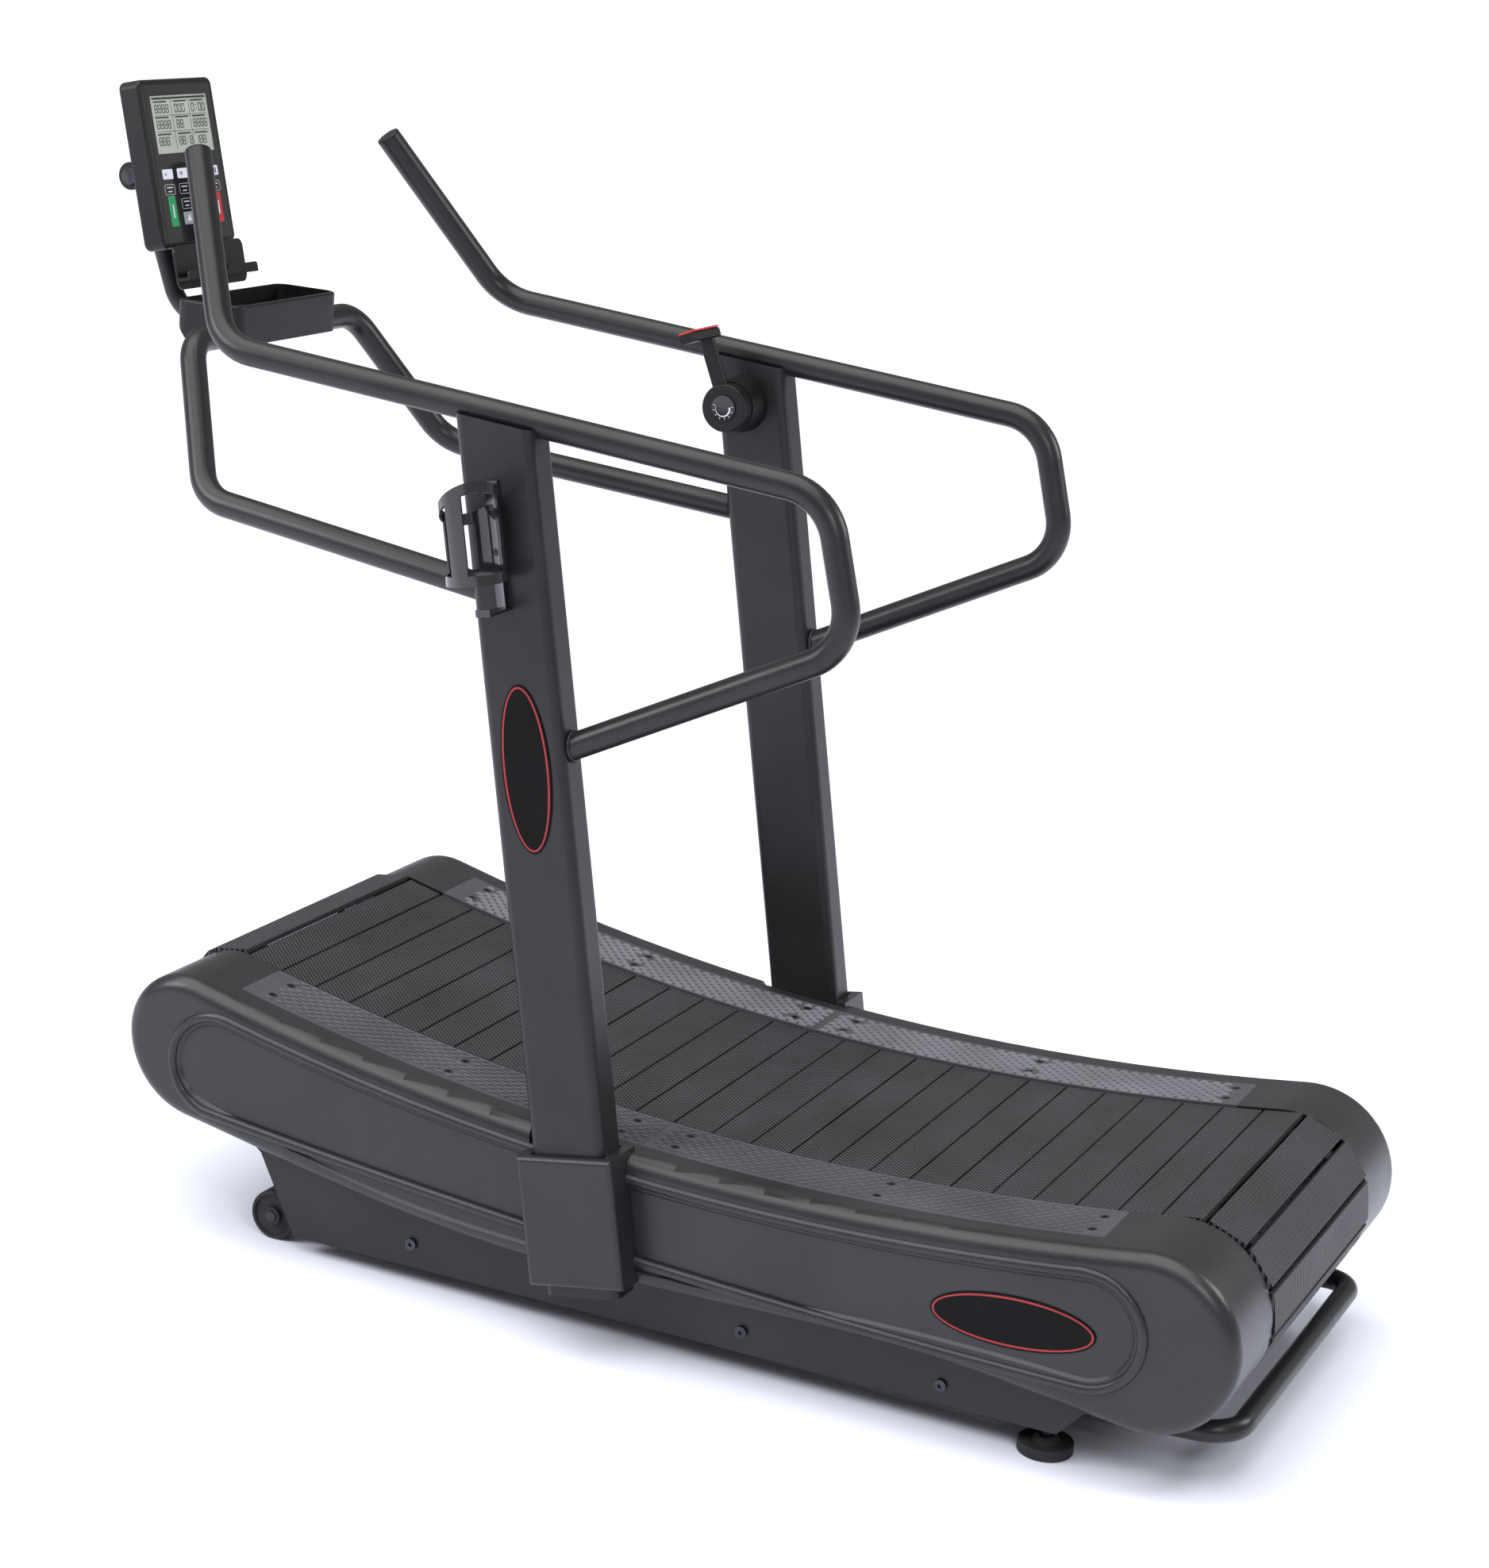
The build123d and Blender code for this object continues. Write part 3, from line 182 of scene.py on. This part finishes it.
# ---------------------------------------------------------------- materials
class Shader:
    """A node material under construction, with short calls for the usual nodes."""

    def __init__(self, name, roughness=0.5, metallic=0.0, specular=0.5, coat=0.0, coat_roughness=0.1):
        self.material = bpy.data.materials.new(name)
        self.material.use_nodes = True
        self.nodes = self.material.node_tree.nodes
        self.links = self.material.node_tree.links
        self.surface = self.nodes["Principled BSDF"]
        self.surface.inputs["Roughness"].default_value = roughness
        self.surface.inputs["Metallic"].default_value = metallic
        self.surface.inputs["Specular IOR Level"].default_value = specular
        self.surface.inputs["Coat Weight"].default_value = coat
        self.surface.inputs["Coat Roughness"].default_value = coat_roughness
        self.place = self.nodes.new("ShaderNodeTexCoord").outputs["Object"]

    def scaled(self, x, y, z):
        """The surface point, scaled along each axis."""
        node = self.nodes.new("ShaderNodeMapping")
        node.inputs["Scale"].default_value = (x, y, z)
        self.links.new(self.place, node.inputs["Vector"])
        return node.outputs["Vector"]

    def noise(self, scale, detail=4.0, vector=None):
        """Noise, from the surface point or a scaled one."""
        node = self.nodes.new("ShaderNodeTexNoise")
        node.inputs["Scale"].default_value = scale
        node.inputs["Detail"].default_value = detail
        self.links.new(vector or self.place, node.inputs["Vector"])
        return node.outputs["Fac"]

    def cells(self, scale, vector=None):
        """Distance to the nearest of scattered points, for pebbled grain."""
        node = self.nodes.new("ShaderNodeTexVoronoi")
        node.inputs["Scale"].default_value = scale
        self.links.new(vector or self.place, node.inputs["Vector"])
        return node.outputs["Distance"]

    def math(self, operation, first, second):
        """One math node on two values, each a number or a socket."""
        node = self.nodes.new("ShaderNodeMath")
        node.operation = operation
        for socket, value in zip(node.inputs, (first, second)):
            if isinstance(value, (int, float)):
                socket.default_value = value
            else:
                self.links.new(value, socket)
        return node.outputs[0]

    def axis(self, index):
        """One coordinate of the surface point."""
        node = self.nodes.new("ShaderNodeSeparateXYZ")
        self.links.new(self.place, node.inputs[0])
        return node.outputs[index]

    def ramp(self, factor, stops):
        """Colour ramp from (position, grey or colour) stops."""
        node = self.nodes.new("ShaderNodeValToRGB")
        ramp = node.color_ramp
        while len(ramp.elements) < len(stops):
            ramp.elements.new(0.5)
        for element, (position, colour) in zip(ramp.elements, stops):
            element.position = position
            rgb = colour if isinstance(colour, tuple) else (colour, colour * 1.02, colour * 1.15)
            element.color = (*rgb, 1.0)
        self.links.new(factor, node.inputs["Fac"])
        return node.outputs["Color"]

    def colour(self, socket):
        self.links.new(socket, self.surface.inputs["Base Color"])

    def roughness(self, socket, low, high):
        """Roughness between low and high by a 0..1 socket."""
        node = self.nodes.new("ShaderNodeMapRange")
        node.inputs["To Min"].default_value = low
        node.inputs["To Max"].default_value = high
        self.links.new(socket, node.inputs["Value"])
        self.links.new(node.outputs["Result"], self.surface.inputs["Roughness"])

    def bump(self, height, distance, strength=1.0):
        """Bump, on top of any bump there already is."""
        node = self.nodes.new("ShaderNodeBump")
        node.inputs["Strength"].default_value = strength
        node.inputs["Distance"].default_value = distance
        self.links.new(height, node.inputs["Height"])
        before = self.surface.inputs["Normal"]
        if before.is_linked:
            self.links.new(before.links[0].from_socket, node.inputs["Normal"])
        self.links.new(node.outputs["Normal"], before)


def powder_coat():
    """Satin charcoal powder coat with a fine orange peel and faint wear."""
    shader = Shader("powder_coat", roughness=0.36, specular=0.36)
    shader.colour(shader.ramp(shader.noise(7, 6), [(0.35, 0.011), (0.65, 0.016)]))
    shader.roughness(shader.noise(22, 5), 0.28, 0.40)
    shader.bump(shader.noise(900, 2), 0.0002, 0.35)
    return shader.material


def moulded(name, dark, light, grain=650, rough=(0.42, 0.58), strength=0.4, specular=0.3):
    """Moulded plastic: pebbled grain, slight mottling and uneven gloss."""
    shader = Shader(name, specular=specular)
    shader.colour(shader.ramp(shader.noise(9, 5), [(0.3, dark), (0.7, light)]))
    shader.roughness(shader.noise(35, 6), *rough)
    shader.bump(shader.cells(grain), 0.0003, strength)
    return shader.material


def slat_rubber():
    """Ribbed rubber: fine ribs along the travel, crossed by short steps, greyer with wear; the rib
    height is also put into the colour as painted shade in the grooves and a painted highlight on the rib
    tops.
    """
    shader = Shader("slat_rubber", specular=0.35)
    across = shader.math("SINE", shader.math("MULTIPLY", shader.axis(1), 2 * math.pi / 0.0076), 0)
    along = shader.math("SINE", shader.math("MULTIPLY", shader.axis(0), 2 * math.pi / 0.0092), 0)
    weave = shader.math("MULTIPLY", across, along)
    height = shader.math("ADD", shader.math("MULTIPLY", weave, 0.5), 0.5)
    wear = shader.noise(11, 5, shader.scaled(1, 0.6, 1))
    # Colour mixes the weave height (painted shade in the grooves, painted highlight on the rib tops)
    # with random wear.
    painted_rib_shade_and_wear = shader.math("ADD", shader.math("MULTIPLY", height, 0.7), shader.math("MULTIPLY", wear, 0.3))
    shader.colour(shader.ramp(painted_rib_shade_and_wear, [(0.20, 0.002), (0.50, 0.012), (0.80, 0.075)]))
    shader.roughness(wear, 0.40, 0.62)
    shader.bump(height, 0.0016, 1.0)
    return shader.material


def plain_rubber():
    """Matt black rubber with a dusty bloom."""
    shader = Shader("plain_rubber", roughness=0.7, specular=0.3)
    shader.colour(shader.ramp(shader.noise(40, 6), [(0.3, 0.012), (0.75, 0.030)]))
    shader.roughness(shader.noise(60, 4), 0.55, 0.8)
    shader.bump(shader.noise(500, 3), 0.0003, 0.4)
    return shader.material


def metal(name, dark, light, rough=(0.22, 0.4), stretch=(1, 60, 1)):
    """Bare metal with fine turning or brushing marks."""
    shader = Shader(name, metallic=1.0)
    marks = shader.noise(40, 5, shader.scaled(*stretch))
    shader.colour(shader.ramp(marks, [(0.3, dark), (0.7, light)]))
    shader.roughness(marks, *rough)
    shader.bump(marks, 0.0001, 0.3)
    return shader.material


def gloss(name, dark, light, roughness=0.08, coat=0.6):
    """Polished plastic with faint swirls."""
    shader = Shader(name, specular=0.6, coat=coat, coat_roughness=0.05)
    shader.colour(shader.ramp(shader.noise(14, 4), [(0.3, dark), (0.7, light)]))
    shader.roughness(shader.noise(90, 5), roughness, roughness + 0.06)
    shader.bump(shader.noise(260, 2), 0.0001, 0.08)
    return shader.material


def display_glass():
    """Reflective liquid-crystal panel: pale grey-green, with a faint pixel grid and a sheen."""
    shader = Shader("display_glass", specular=0.5, coat=0.5, coat_roughness=0.04)
    fine = shader.math("SINE", shader.math("MULTIPLY", shader.axis(1), 2 * math.pi / 0.0012), 0)
    shade = shader.math("ADD", shader.noise(10, 3), shader.math("MULTIPLY", fine, 0.03))
    shader.colour(shader.ramp(shade, [(0.3, (0.36, 0.39, 0.34)), (0.7, (0.50, 0.53, 0.47))]))
    shader.roughness(shader.noise(60, 3), 0.18, 0.26)
    return shader.material


POWDER = powder_coat()
SATIN = (0.28, 0.38)
COVER = moulded("cover_plastic", 0.015, 0.021, grain=420, rough=SATIN, specular=0.42)
RAIL = moulded("rail_plastic", 0.052, 0.070, grain=520, rough=(0.40, 0.52))
SCALE = moulded("scale_plastic", 0.105, 0.150, grain=700, rough=(0.34, 0.46), strength=0.25)
BLACK = moulded("black_plastic", 0.005, 0.009, grain=700, rough=(0.34, 0.48))
BOOT = moulded("boot_plastic", 0.013, 0.018, grain=520, rough=SATIN, specular=0.42)
SLAT = slat_rubber()
RUBBER = plain_rubber()
ZINC = metal("zinc_steel", 0.35, 0.55)
DARK_ZINC = metal("black_oxide_steel", 0.045, 0.080, rough=(0.30, 0.45))
GROUND = metal("ground_steel", 0.42, 0.60, rough=(0.15, 0.28))
ALUMINIUM = metal("turned_aluminium", 0.50, 0.66, stretch=(4, 4, 4))
IRON = metal("turned_iron", 0.16, 0.26, rough=(0.30, 0.5), stretch=(4, 4, 4))
GLOSS_BLACK = gloss("gloss_black", 0.008, 0.016)
BADGE_BLACK = moulded("badge_black", 0.001, 0.003, grain=900, rough=SATIN, strength=0.1, specular=0.12)
PANEL_BLACK = gloss("panel_black", 0.006, 0.011, roughness=0.05, coat=1.0)
DISPLAY = display_glass()
SEGMENTS = moulded("segment_ink", 0.020, 0.035, grain=900)
INK_WHITE = gloss("printed_white", 0.62, 0.72, roughness=0.3, coat=0.1)
KEY_WHITE = gloss("key_white", 0.66, 0.76, roughness=0.22, coat=0.2)
KEY_GREY = gloss("key_grey", 0.26, 0.32, roughness=0.25, coat=0.2)
KEY_GREEN = gloss("key_green", (0.010, 0.26, 0.085), (0.018, 0.33, 0.11), roughness=0.2, coat=0.3)
KEY_RED = gloss("key_red", (0.50, 0.010, 0.012), (0.62, 0.018, 0.018), roughness=0.2, coat=0.3)
RIM_RED = gloss("rim_red", (0.26, 0.003, 0.005), (0.34, 0.006, 0.008), roughness=0.35, coat=0.0)
INSERT_RED = gloss("insert_red", (0.48, 0.012, 0.010), (0.60, 0.022, 0.018), roughness=0.3, coat=0.2)

NODE_LOOKS = {
    POWDER: "side_frame_left side_frame_right upright_left upright_right handrail_left handrail_right "
    "front_loop console_post rear_handle cross_members",
    COVER: "side_cover_left side_cover_right",
    RAIL: "foot_rail_left foot_rail_right",
    BOOT: "upright_boots",
    BLACK: "rail_end_caps utility_tray phone_holder lever_base lever_arm lever_grip "
    "console_rear_shell brake_cable",
    SLAT: "slats",
    RUBBER: "toothed_belts ribbed_belt wheel_left wheel_right foot_left foot_right deck_rollers",
    ZINC: "foot_nuts brake_bracket roller_bars",
    DARK_ZINC: "frame_bolts screws hinge_bolt wheel_axles",
    GROUND: "front_axle rear_axle",
    ALUMINIUM: "front_pulleys rear_pulleys drive_pulley",
    IRON: "flywheel brake_caliper axle_bearings",
    GLOSS_BLACK: "bottle_cage lever_dial",
    BADGE_BLACK: "badges",
    PANEL_BLACK: "console_front_panel",
    DISPLAY: "console_display",
    KEY_WHITE: "key_quick_1 key_quick_2 key_quick_3 key_quick_4",
    KEY_GREY: "key_up key_down",
    KEY_GREEN: "key_start",
    KEY_RED: "key_stop",
    INSERT_RED: "lever_grip_insert",
}


def dress_nodes():
    """Give every CAD node its finished material."""
    for material, names in NODE_LOOKS.items():
        for name in names.split():
            for slot in bpy.data.objects[name].material_slots:
                slot.material = material


# ---------------------------------------------------------------- foot rails
SCALE_PITCH = 0.0182
SCALE_ROW = 0.0092
SCALE_HEIGHT = 0.0022


def scale_outline():
    """One anti-slip scale: straight towards the tread and round towards the outside."""
    radius = 0.0074
    steps = 9
    arc = [math.pi * step / steps for step in range(steps + 1)]
    return [(radius * math.cos(angle), radius * math.sin(angle)) for angle in arc]


def add_scale(work, outline, x, y, side):
    """A scale that rises from its straight edge to its round one."""
    lift = Matrix.Translation((x, side * y, deck_z(x) + 0.0019))
    turn = lift @ Matrix.Rotation(-deck_slope(x), 4, "Y")
    reach = max(v for _, v in outline)
    high, low = [], []
    for u, v in outline:
        rise = SCALE_HEIGHT * v / reach + 0.0003
        high.append(work.verts.new(turn @ Vector((u, side * v, rise))))
        low.append(work.verts.new(turn @ Vector((u, side * v, 0))))
    work.faces.new(high)
    for index in range(len(outline)):
        after = (index + 1) % len(outline)
        work.faces.new((low[index], low[after], high[after], high[index]))


def foot_rail_scales(side, name):
    """The staggered anti-slip scales of one foot rail, clear of its ends, split and screws."""
    outline = scale_outline()
    screw_rows = [0.272, 0.322]
    screw_columns = [0.661, 0.359, 0.075, -0.010, -0.319, -0.629]
    split = 0.032

    def make(work):
        rows = int((RAIL_HIGH.y - RAIL_LOW.y - 0.010) / SCALE_ROW)
        columns = int((RAIL_HIGH.x - RAIL_LOW.x - 0.050) / SCALE_PITCH)
        for row in range(rows):
            y = RAIL_LOW.y + 0.004 + row * SCALE_ROW
            for column in range(columns):
                x = RAIL_LOW.x + 0.032 + (column + 0.5 * (row % 2)) * SCALE_PITCH
                on_column = any(abs(x - screw_x) < 0.013 for screw_x in screw_columns)
                on_row = any(abs(y + 0.003 - screw_y) < 0.010 for screw_y in screw_rows)
                if (on_column and on_row) or abs(x - split) < 0.009:
                    continue
                add_scale(work, outline, x, y, side)

    return new_piece(name, make, SCALE, "frame")


# ---------------------------------------------------------------- side covers
PANEL_DROP = 0.040
PANEL_SAG = 0.020
PANEL_ENDS = ((0.706, 0.066), (-0.657, 0.072))


def racetrack(inset):
    """Closed outline in x and z round the cover's recessed panel, `inset` inside it."""
    deck_centre = Vector((DECK_LOW_X, DECK_LOW_Z + DECK_RADIUS))
    ends = []
    for x, radius in PANEL_ENDS:
        centre = Vector((x, deck_z(x, PANEL_DROP + radius)))
        upward = math.atan2(deck_centre.y - centre.y, deck_centre.x - centre.x)
        ends.append((centre, radius - inset, upward))
    (front, front_r, front_up), (rear, rear_r, rear_up) = ends
    front_low, rear_low = math.radians(-76), math.radians(-88)

    def arc(centre, radius, start, finish, steps):
        angles = [start + (finish - start) * step / steps for step in range(steps + 1)]
        return [centre + radius * Vector((math.cos(angle), math.sin(angle))) for angle in angles]

    outline = arc(deck_centre, -(DECK_RADIUS + PANEL_DROP + inset), rear_up, front_up, 48)
    outline += arc(front, front_r, front_up, front_low, 16)[1:]
    rear_arc = arc(rear, rear_r, rear_low, rear_up - 2 * math.pi, 16)
    start, end = outline[-1], rear_arc[0]
    for step in range(1, 48):
        share = step / 48
        dip = PANEL_SAG * 4 * share * (1 - share)
        outline.append(start.lerp(end, share) - Vector((0, dip)))
    return outline + rear_arc[:-1]


def cover_beads():
    """Raised bead round the recessed panel of each side cover."""

    def make(work):
        for side in (1, -1):
            path = [Vector((x, side * (COVER_OUTER_Y - 0.0018), z)) for x, z in racetrack(-0.010)]
            add_tube(work, path, 0.0080, sides=16)

    return smooth(new_piece("cover_beads", make, COVER, "frame"), 60)


# ---------------------------------------------------------------- console
SEGMENT_PLACES = {
    "a": (0, 1, True), "b": (1, 0.5, False), "c": (1, -0.5, False), "d": (0, -1, True),
    "e": (-1, -0.5, False), "f": (-1, 0.5, False), "g": (0, 0, True),
}
DIGITS = {"0": "abcdef", "1": "bc", "2": "abged", "3": "abgcd", "4": "fgbc", "5": "afgcd", "6": "afgedc",
          "7": "abc", "8": "abcdefg", "9": "abcdfg"}


def add_digits(work, text, x, y, height, lift):
    """Seven-segment figures, the first one at x."""
    half_w, half_h = height * 0.26, height * 0.46
    thick = height * 0.11
    for place, figure in enumerate(text):
        if figure == ":":
            for dot_y in (0.25, -0.25):
                at = console_matrix(x + place * height * 0.76, y + dot_y * height, lift)
                add_slab(work, rectangle(thick, thick), INK, at)
            continue
        for segment in DIGITS[figure]:
            sx, sy, flat = SEGMENT_PLACES[segment]
            size = (half_w * 1.7, thick) if flat else (thick, half_h * 0.86)
            at_x = x + place * height * 0.76 + sx * half_w
            add_slab(work, rectangle(*size), INK, console_matrix(at_x, y + sy * half_h, lift))


def display_figures():
    """Read-outs of the display: three columns of small headings and figures."""
    lift = -0.00075
    rows = (
        (0.0835, "8888", "000", "0:00"),
        (0.0600, "8888", "88", "8888"),
        (0.0350, "888", "88:8", "188"),
    )

    def make(work):
        for y, *columns in rows:
            for x, text in zip((-0.066, -0.014, 0.030), columns):
                add_digits(work, text, x + 0.004, y - 0.002, 0.0125, lift)
                heading = console_matrix(x + 0.016, y + 0.0085, lift)
                add_slab(work, rectangle(0.034, 0.0022), INK, heading)
        for x in (-0.022, 0.024):
            add_slab(work, rectangle(0.0006, 0.076), INK, console_matrix(x, 0.058, lift))
        for y in (0.0475, 0.0715):
            add_slab(work, rectangle(0.136, 0.0006), INK, console_matrix(0, y, lift))
        add_slab(work, rectangle(0.140, 0.0030), INK, console_matrix(0, 0.0970, lift))

    return new_piece("display_figures", make, SEGMENTS, "console")


def printed_keys():
    """Outlined touch zones printed on the console's panel."""
    places = [(x, -0.0385) for x in (-0.060, -0.022, 0.022, 0.060)]
    places += [(-0.022, -0.0610), (0.022, -0.0610)]

    def make(work):
        for x, y in places:
            outer = rectangle(0.0260, 0.0155, corner=0.0025)
            inner = rectangle(0.0250, 0.0145, corner=0.0020)
            add_band(work, outer, inner, INK, console_matrix(x, y, 0.0))
            for line, width in ((0.0030, 0.015), (-0.0030, 0.010)):
                add_slab(work, rectangle(width, 0.0014, 0, line), INK, console_matrix(x, y, 0.0))

    return new_piece("panel_print", make, INK_WHITE, "console")


def key_marks():
    """Plain marks on the keys: bars on the quick keys, arrows on the level keys."""
    lift = 0.0008
    for index, x in enumerate((-0.060, -0.022, 0.022, 0.060)):

        def bars(work, x=x, index=index):
            for bar in range(index + 1):
                outline = rectangle(0.0022, 0.004 + 0.0016 * bar, -0.006 + 0.004 * bar, 0)
                add_slab(work, outline, INK, console_matrix(x, -0.0155, lift))

        new_piece(f"quick_mark_{index + 1}", bars, SEGMENTS, f"key_quick_{index + 1}")
    for name, x, turn in (("key_up", -0.022, 1), ("key_down", 0.022, -1)):

        def arrow(work, x=x, turn=turn):
            outline = [(-0.006 * turn, -0.004 * turn), (0.006 * turn, -0.004 * turn), (0, 0.006 * turn)]
            add_slab(work, outline, INK, console_matrix(x, -0.083, lift))

        new_piece(f"{name}_mark", arrow, INK_WHITE, name)
    for name, x in (("key_start", -0.060), ("key_stop", 0.060)):

        def bar(work, x=x):
            add_slab(work, rectangle(0.0030, 0.0200), INK, console_matrix(x, -0.071, lift))

        new_piece(f"{name}_mark", bar, INK_WHITE, name)


def console_back_detail():
    """Vent slots and screw heads on the console's back."""

    def make(work):
        back = -0.0402
        for side in (-1, 1):
            for slot in range(7):
                outline = rectangle(0.030, 0.0026, corner=0.0012)
                place = console_matrix(side * 0.050, -0.085 + 0.006 * slot, back)
                add_slab(work, outline, 0.0006, place)
            for y in (-0.108, 0.108):
                angles = [step * math.pi / 9 for step in range(18)]
                outline = [(0.0042 * math.cos(angle), 0.0042 * math.sin(angle)) for angle in angles]
                add_slab(work, outline, 0.0012, console_matrix(side * 0.080, y, back - 0.0006))

    return new_piece("console_back_detail", make, DARK_ZINC, "console")


# ---------------------------------------------------------------- dial, badges, weld beads
def dial_matrix():
    """Matrix of the dial's face: x to the rear, y up, z towards the runner."""
    turn = Matrix(((-1, 0, 0), (0, 0, 1), (0, 1, 0))).to_4x4()
    dial_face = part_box("lever_dial")[1][1]
    return Matrix.Translation((LEVER_HUB.x, dial_face, LEVER_HUB.z)) @ turn


def dial_scale():
    """A white crescent that widens round the dial, with ticks."""

    def make(work):
        place = dial_matrix()
        steps = 30
        outer, inner = [], []
        for step in range(steps + 1):
            angle = math.radians(165 + 210 * step / steps)
            width = 0.0003 + 0.0026 * step / steps
            outer.append((0.0128 * math.cos(angle), 0.0128 * math.sin(angle)))
            inner.append(((0.0128 - width) * math.cos(angle), (0.0128 - width) * math.sin(angle)))
        add_slab(work, outer + inner[::-1], INK, place)
        for tick in range(8):
            angle = math.radians(165 + 30 * tick)
            turn = Matrix.Rotation(angle, 4, "Z") @ Matrix.Translation((0.0158, 0, 0))
            add_slab(work, rectangle(0.0030, 0.0008), INK, place @ turn)

    return new_piece("dial_scale", make, INK_WHITE, "frame")


def badge_rims():
    """Red outlines of the oval badges."""
    lean = UPRIGHT_LEAN
    centre = UPRIGHT_FOOT + 0.758 * Vector((math.sin(lean), 0, math.cos(lean)))
    places = []
    for side in (1, -1):
        flat = Matrix(((1, 0, 0), (0, 0, side), (0, 1, 0))).to_4x4()
        upright = Matrix.Translation((centre.x, side * 0.4330, centre.z))
        upright = upright @ Matrix.Rotation(lean - math.pi / 2, 4, "Y")
        cover = Matrix.Translation((-0.557, side * 0.3980, 0.207))
        cover = cover @ Matrix.Rotation(math.radians(3.5), 4, "Y")
        places += [upright @ flat, cover @ flat]

    def oval(length, width):
        angles = [step * math.pi / 36 for step in range(72)]
        return [(length * math.cos(angle), width * math.sin(angle)) for angle in angles]

    def make(work):
        for place in places:
            add_band(work, oval(0.1150, 0.0350), oval(0.1122, 0.0322), 0.0004, place)

    return new_piece("badge_rims", make, RIM_RED, "frame")


def weld_beads():
    """Weld beads where the rails meet the uprights' faces."""
    joints = []
    for side in (1, -1):
        joints.append((Vector((0.3065, side * 0.3985, 1.0658)), Vector((1, 0, 0.078)), 0.0195))
        joints.append((Vector((0.1500, side * 0.4010, 0.8722)), Vector((1, 0, -0.518)), 0.0195))

    def make(work):
        lean = Vector((math.cos(UPRIGHT_LEAN), 0, -math.sin(UPRIGHT_LEAN)))
        for centre, along, radius in joints:
            along.normalize()
            across = Vector((0, 1, 0))
            upward = along.cross(across)
            path = []
            for step in range(36):
                angle = step * math.pi / 18
                ring = centre + radius * (math.cos(angle) * across + math.sin(angle) * upward)
                shift = (centre - ring).dot(lean) / along.dot(lean)
                path.append(ring + along * shift)
            add_tube(work, path, 0.0024)

    return smooth(new_piece("weld_beads", make, POWDER, "frame"), 60)


# ---------------------------------------------------------------- stage
def stage():
    """White floor, a bright sky, soft lamps and the camera."""
    bpy.ops.mesh.primitive_plane_add(size=60, location=(0, 0, -0.0005))
    floor = bpy.context.object
    floor.name = "studio_floor"
    shader = Shader("studio_floor", roughness=0.55, specular=0.3)
    shader.colour(shader.ramp(shader.noise(2, 2), [(0.3, 0.86), (0.7, 0.88)]))
    floor.data.materials.append(shader.material)

    world = bpy.data.worlds.new("studio")
    bpy.context.scene.world = world
    world.use_nodes = True
    nodes = world.node_tree.nodes
    links = world.node_tree.links
    nodes["Background"].inputs["Color"].default_value = (1, 1, 1, 1)
    seen = nodes.new("ShaderNodeLightPath").outputs["Is Camera Ray"]
    strength = nodes.new("ShaderNodeMapRange")
    strength.inputs["To Min"].default_value = WORLD_LIGHT
    strength.inputs["To Max"].default_value = 1.0
    links.new(seen, strength.inputs["Value"])
    links.new(strength.outputs["Result"], nodes["Background"].inputs["Strength"])
    bpy.context.scene.view_settings.view_transform = "Standard"

    sun = bpy.data.lights.new("sky", "SUN")
    sun.energy = 3.4
    sun.angle = math.radians(70)
    sky = bpy.data.objects.new("sky", sun)
    sky.rotation_euler = (math.radians(-14), math.radians(10), 0)
    bpy.context.collection.objects.link(sky)

    lamps = (
        ("front_left", (3.4, 2.6, 2.6), (0.2, 0.2, 0.6), 1.6, 70),
        ("rear_left", (-3.2, 3.6, 3.4), (0, 0.2, 0.4), 1.2, 60),
        ("rear_rim", (-3.4, -2.2, 2.8), (0, 0, 0.8), 1.6, 70),
    )
    for name, place, target, size, power in lamps:
        light = bpy.data.lights.new(name, "AREA")
        light.size = size
        light.energy = power
        lamp = bpy.data.objects.new(name, light)
        lamp.location = place
        lamp.rotation_euler = (Vector(target) - Vector(place)).to_track_quat("-Z", "Y").to_euler()
        bpy.context.collection.objects.link(lamp)

    lens = bpy.data.cameras.new("camera")
    lens.lens = CAMERA_LENS
    lens.sensor_width = 36
    lens.clip_end = 200
    camera = bpy.data.objects.new("camera", lens)
    back = CAMERA_RIGHT.cross(CAMERA_UP)
    turn = Matrix((CAMERA_RIGHT, CAMERA_UP, back)).transposed().to_4x4()
    camera.matrix_world = Matrix.Translation(CAMERA_PLACE) @ turn
    bpy.context.collection.objects.link(camera)
    bpy.context.scene.camera = camera


stage()
dress_nodes()
foot_rail_scales(1, "rail_scales_left")
foot_rail_scales(-1, "rail_scales_right")
cover_beads()
display_figures()
printed_keys()
key_marks()
console_back_detail()
dial_scale()
badge_rims()
weld_beads()
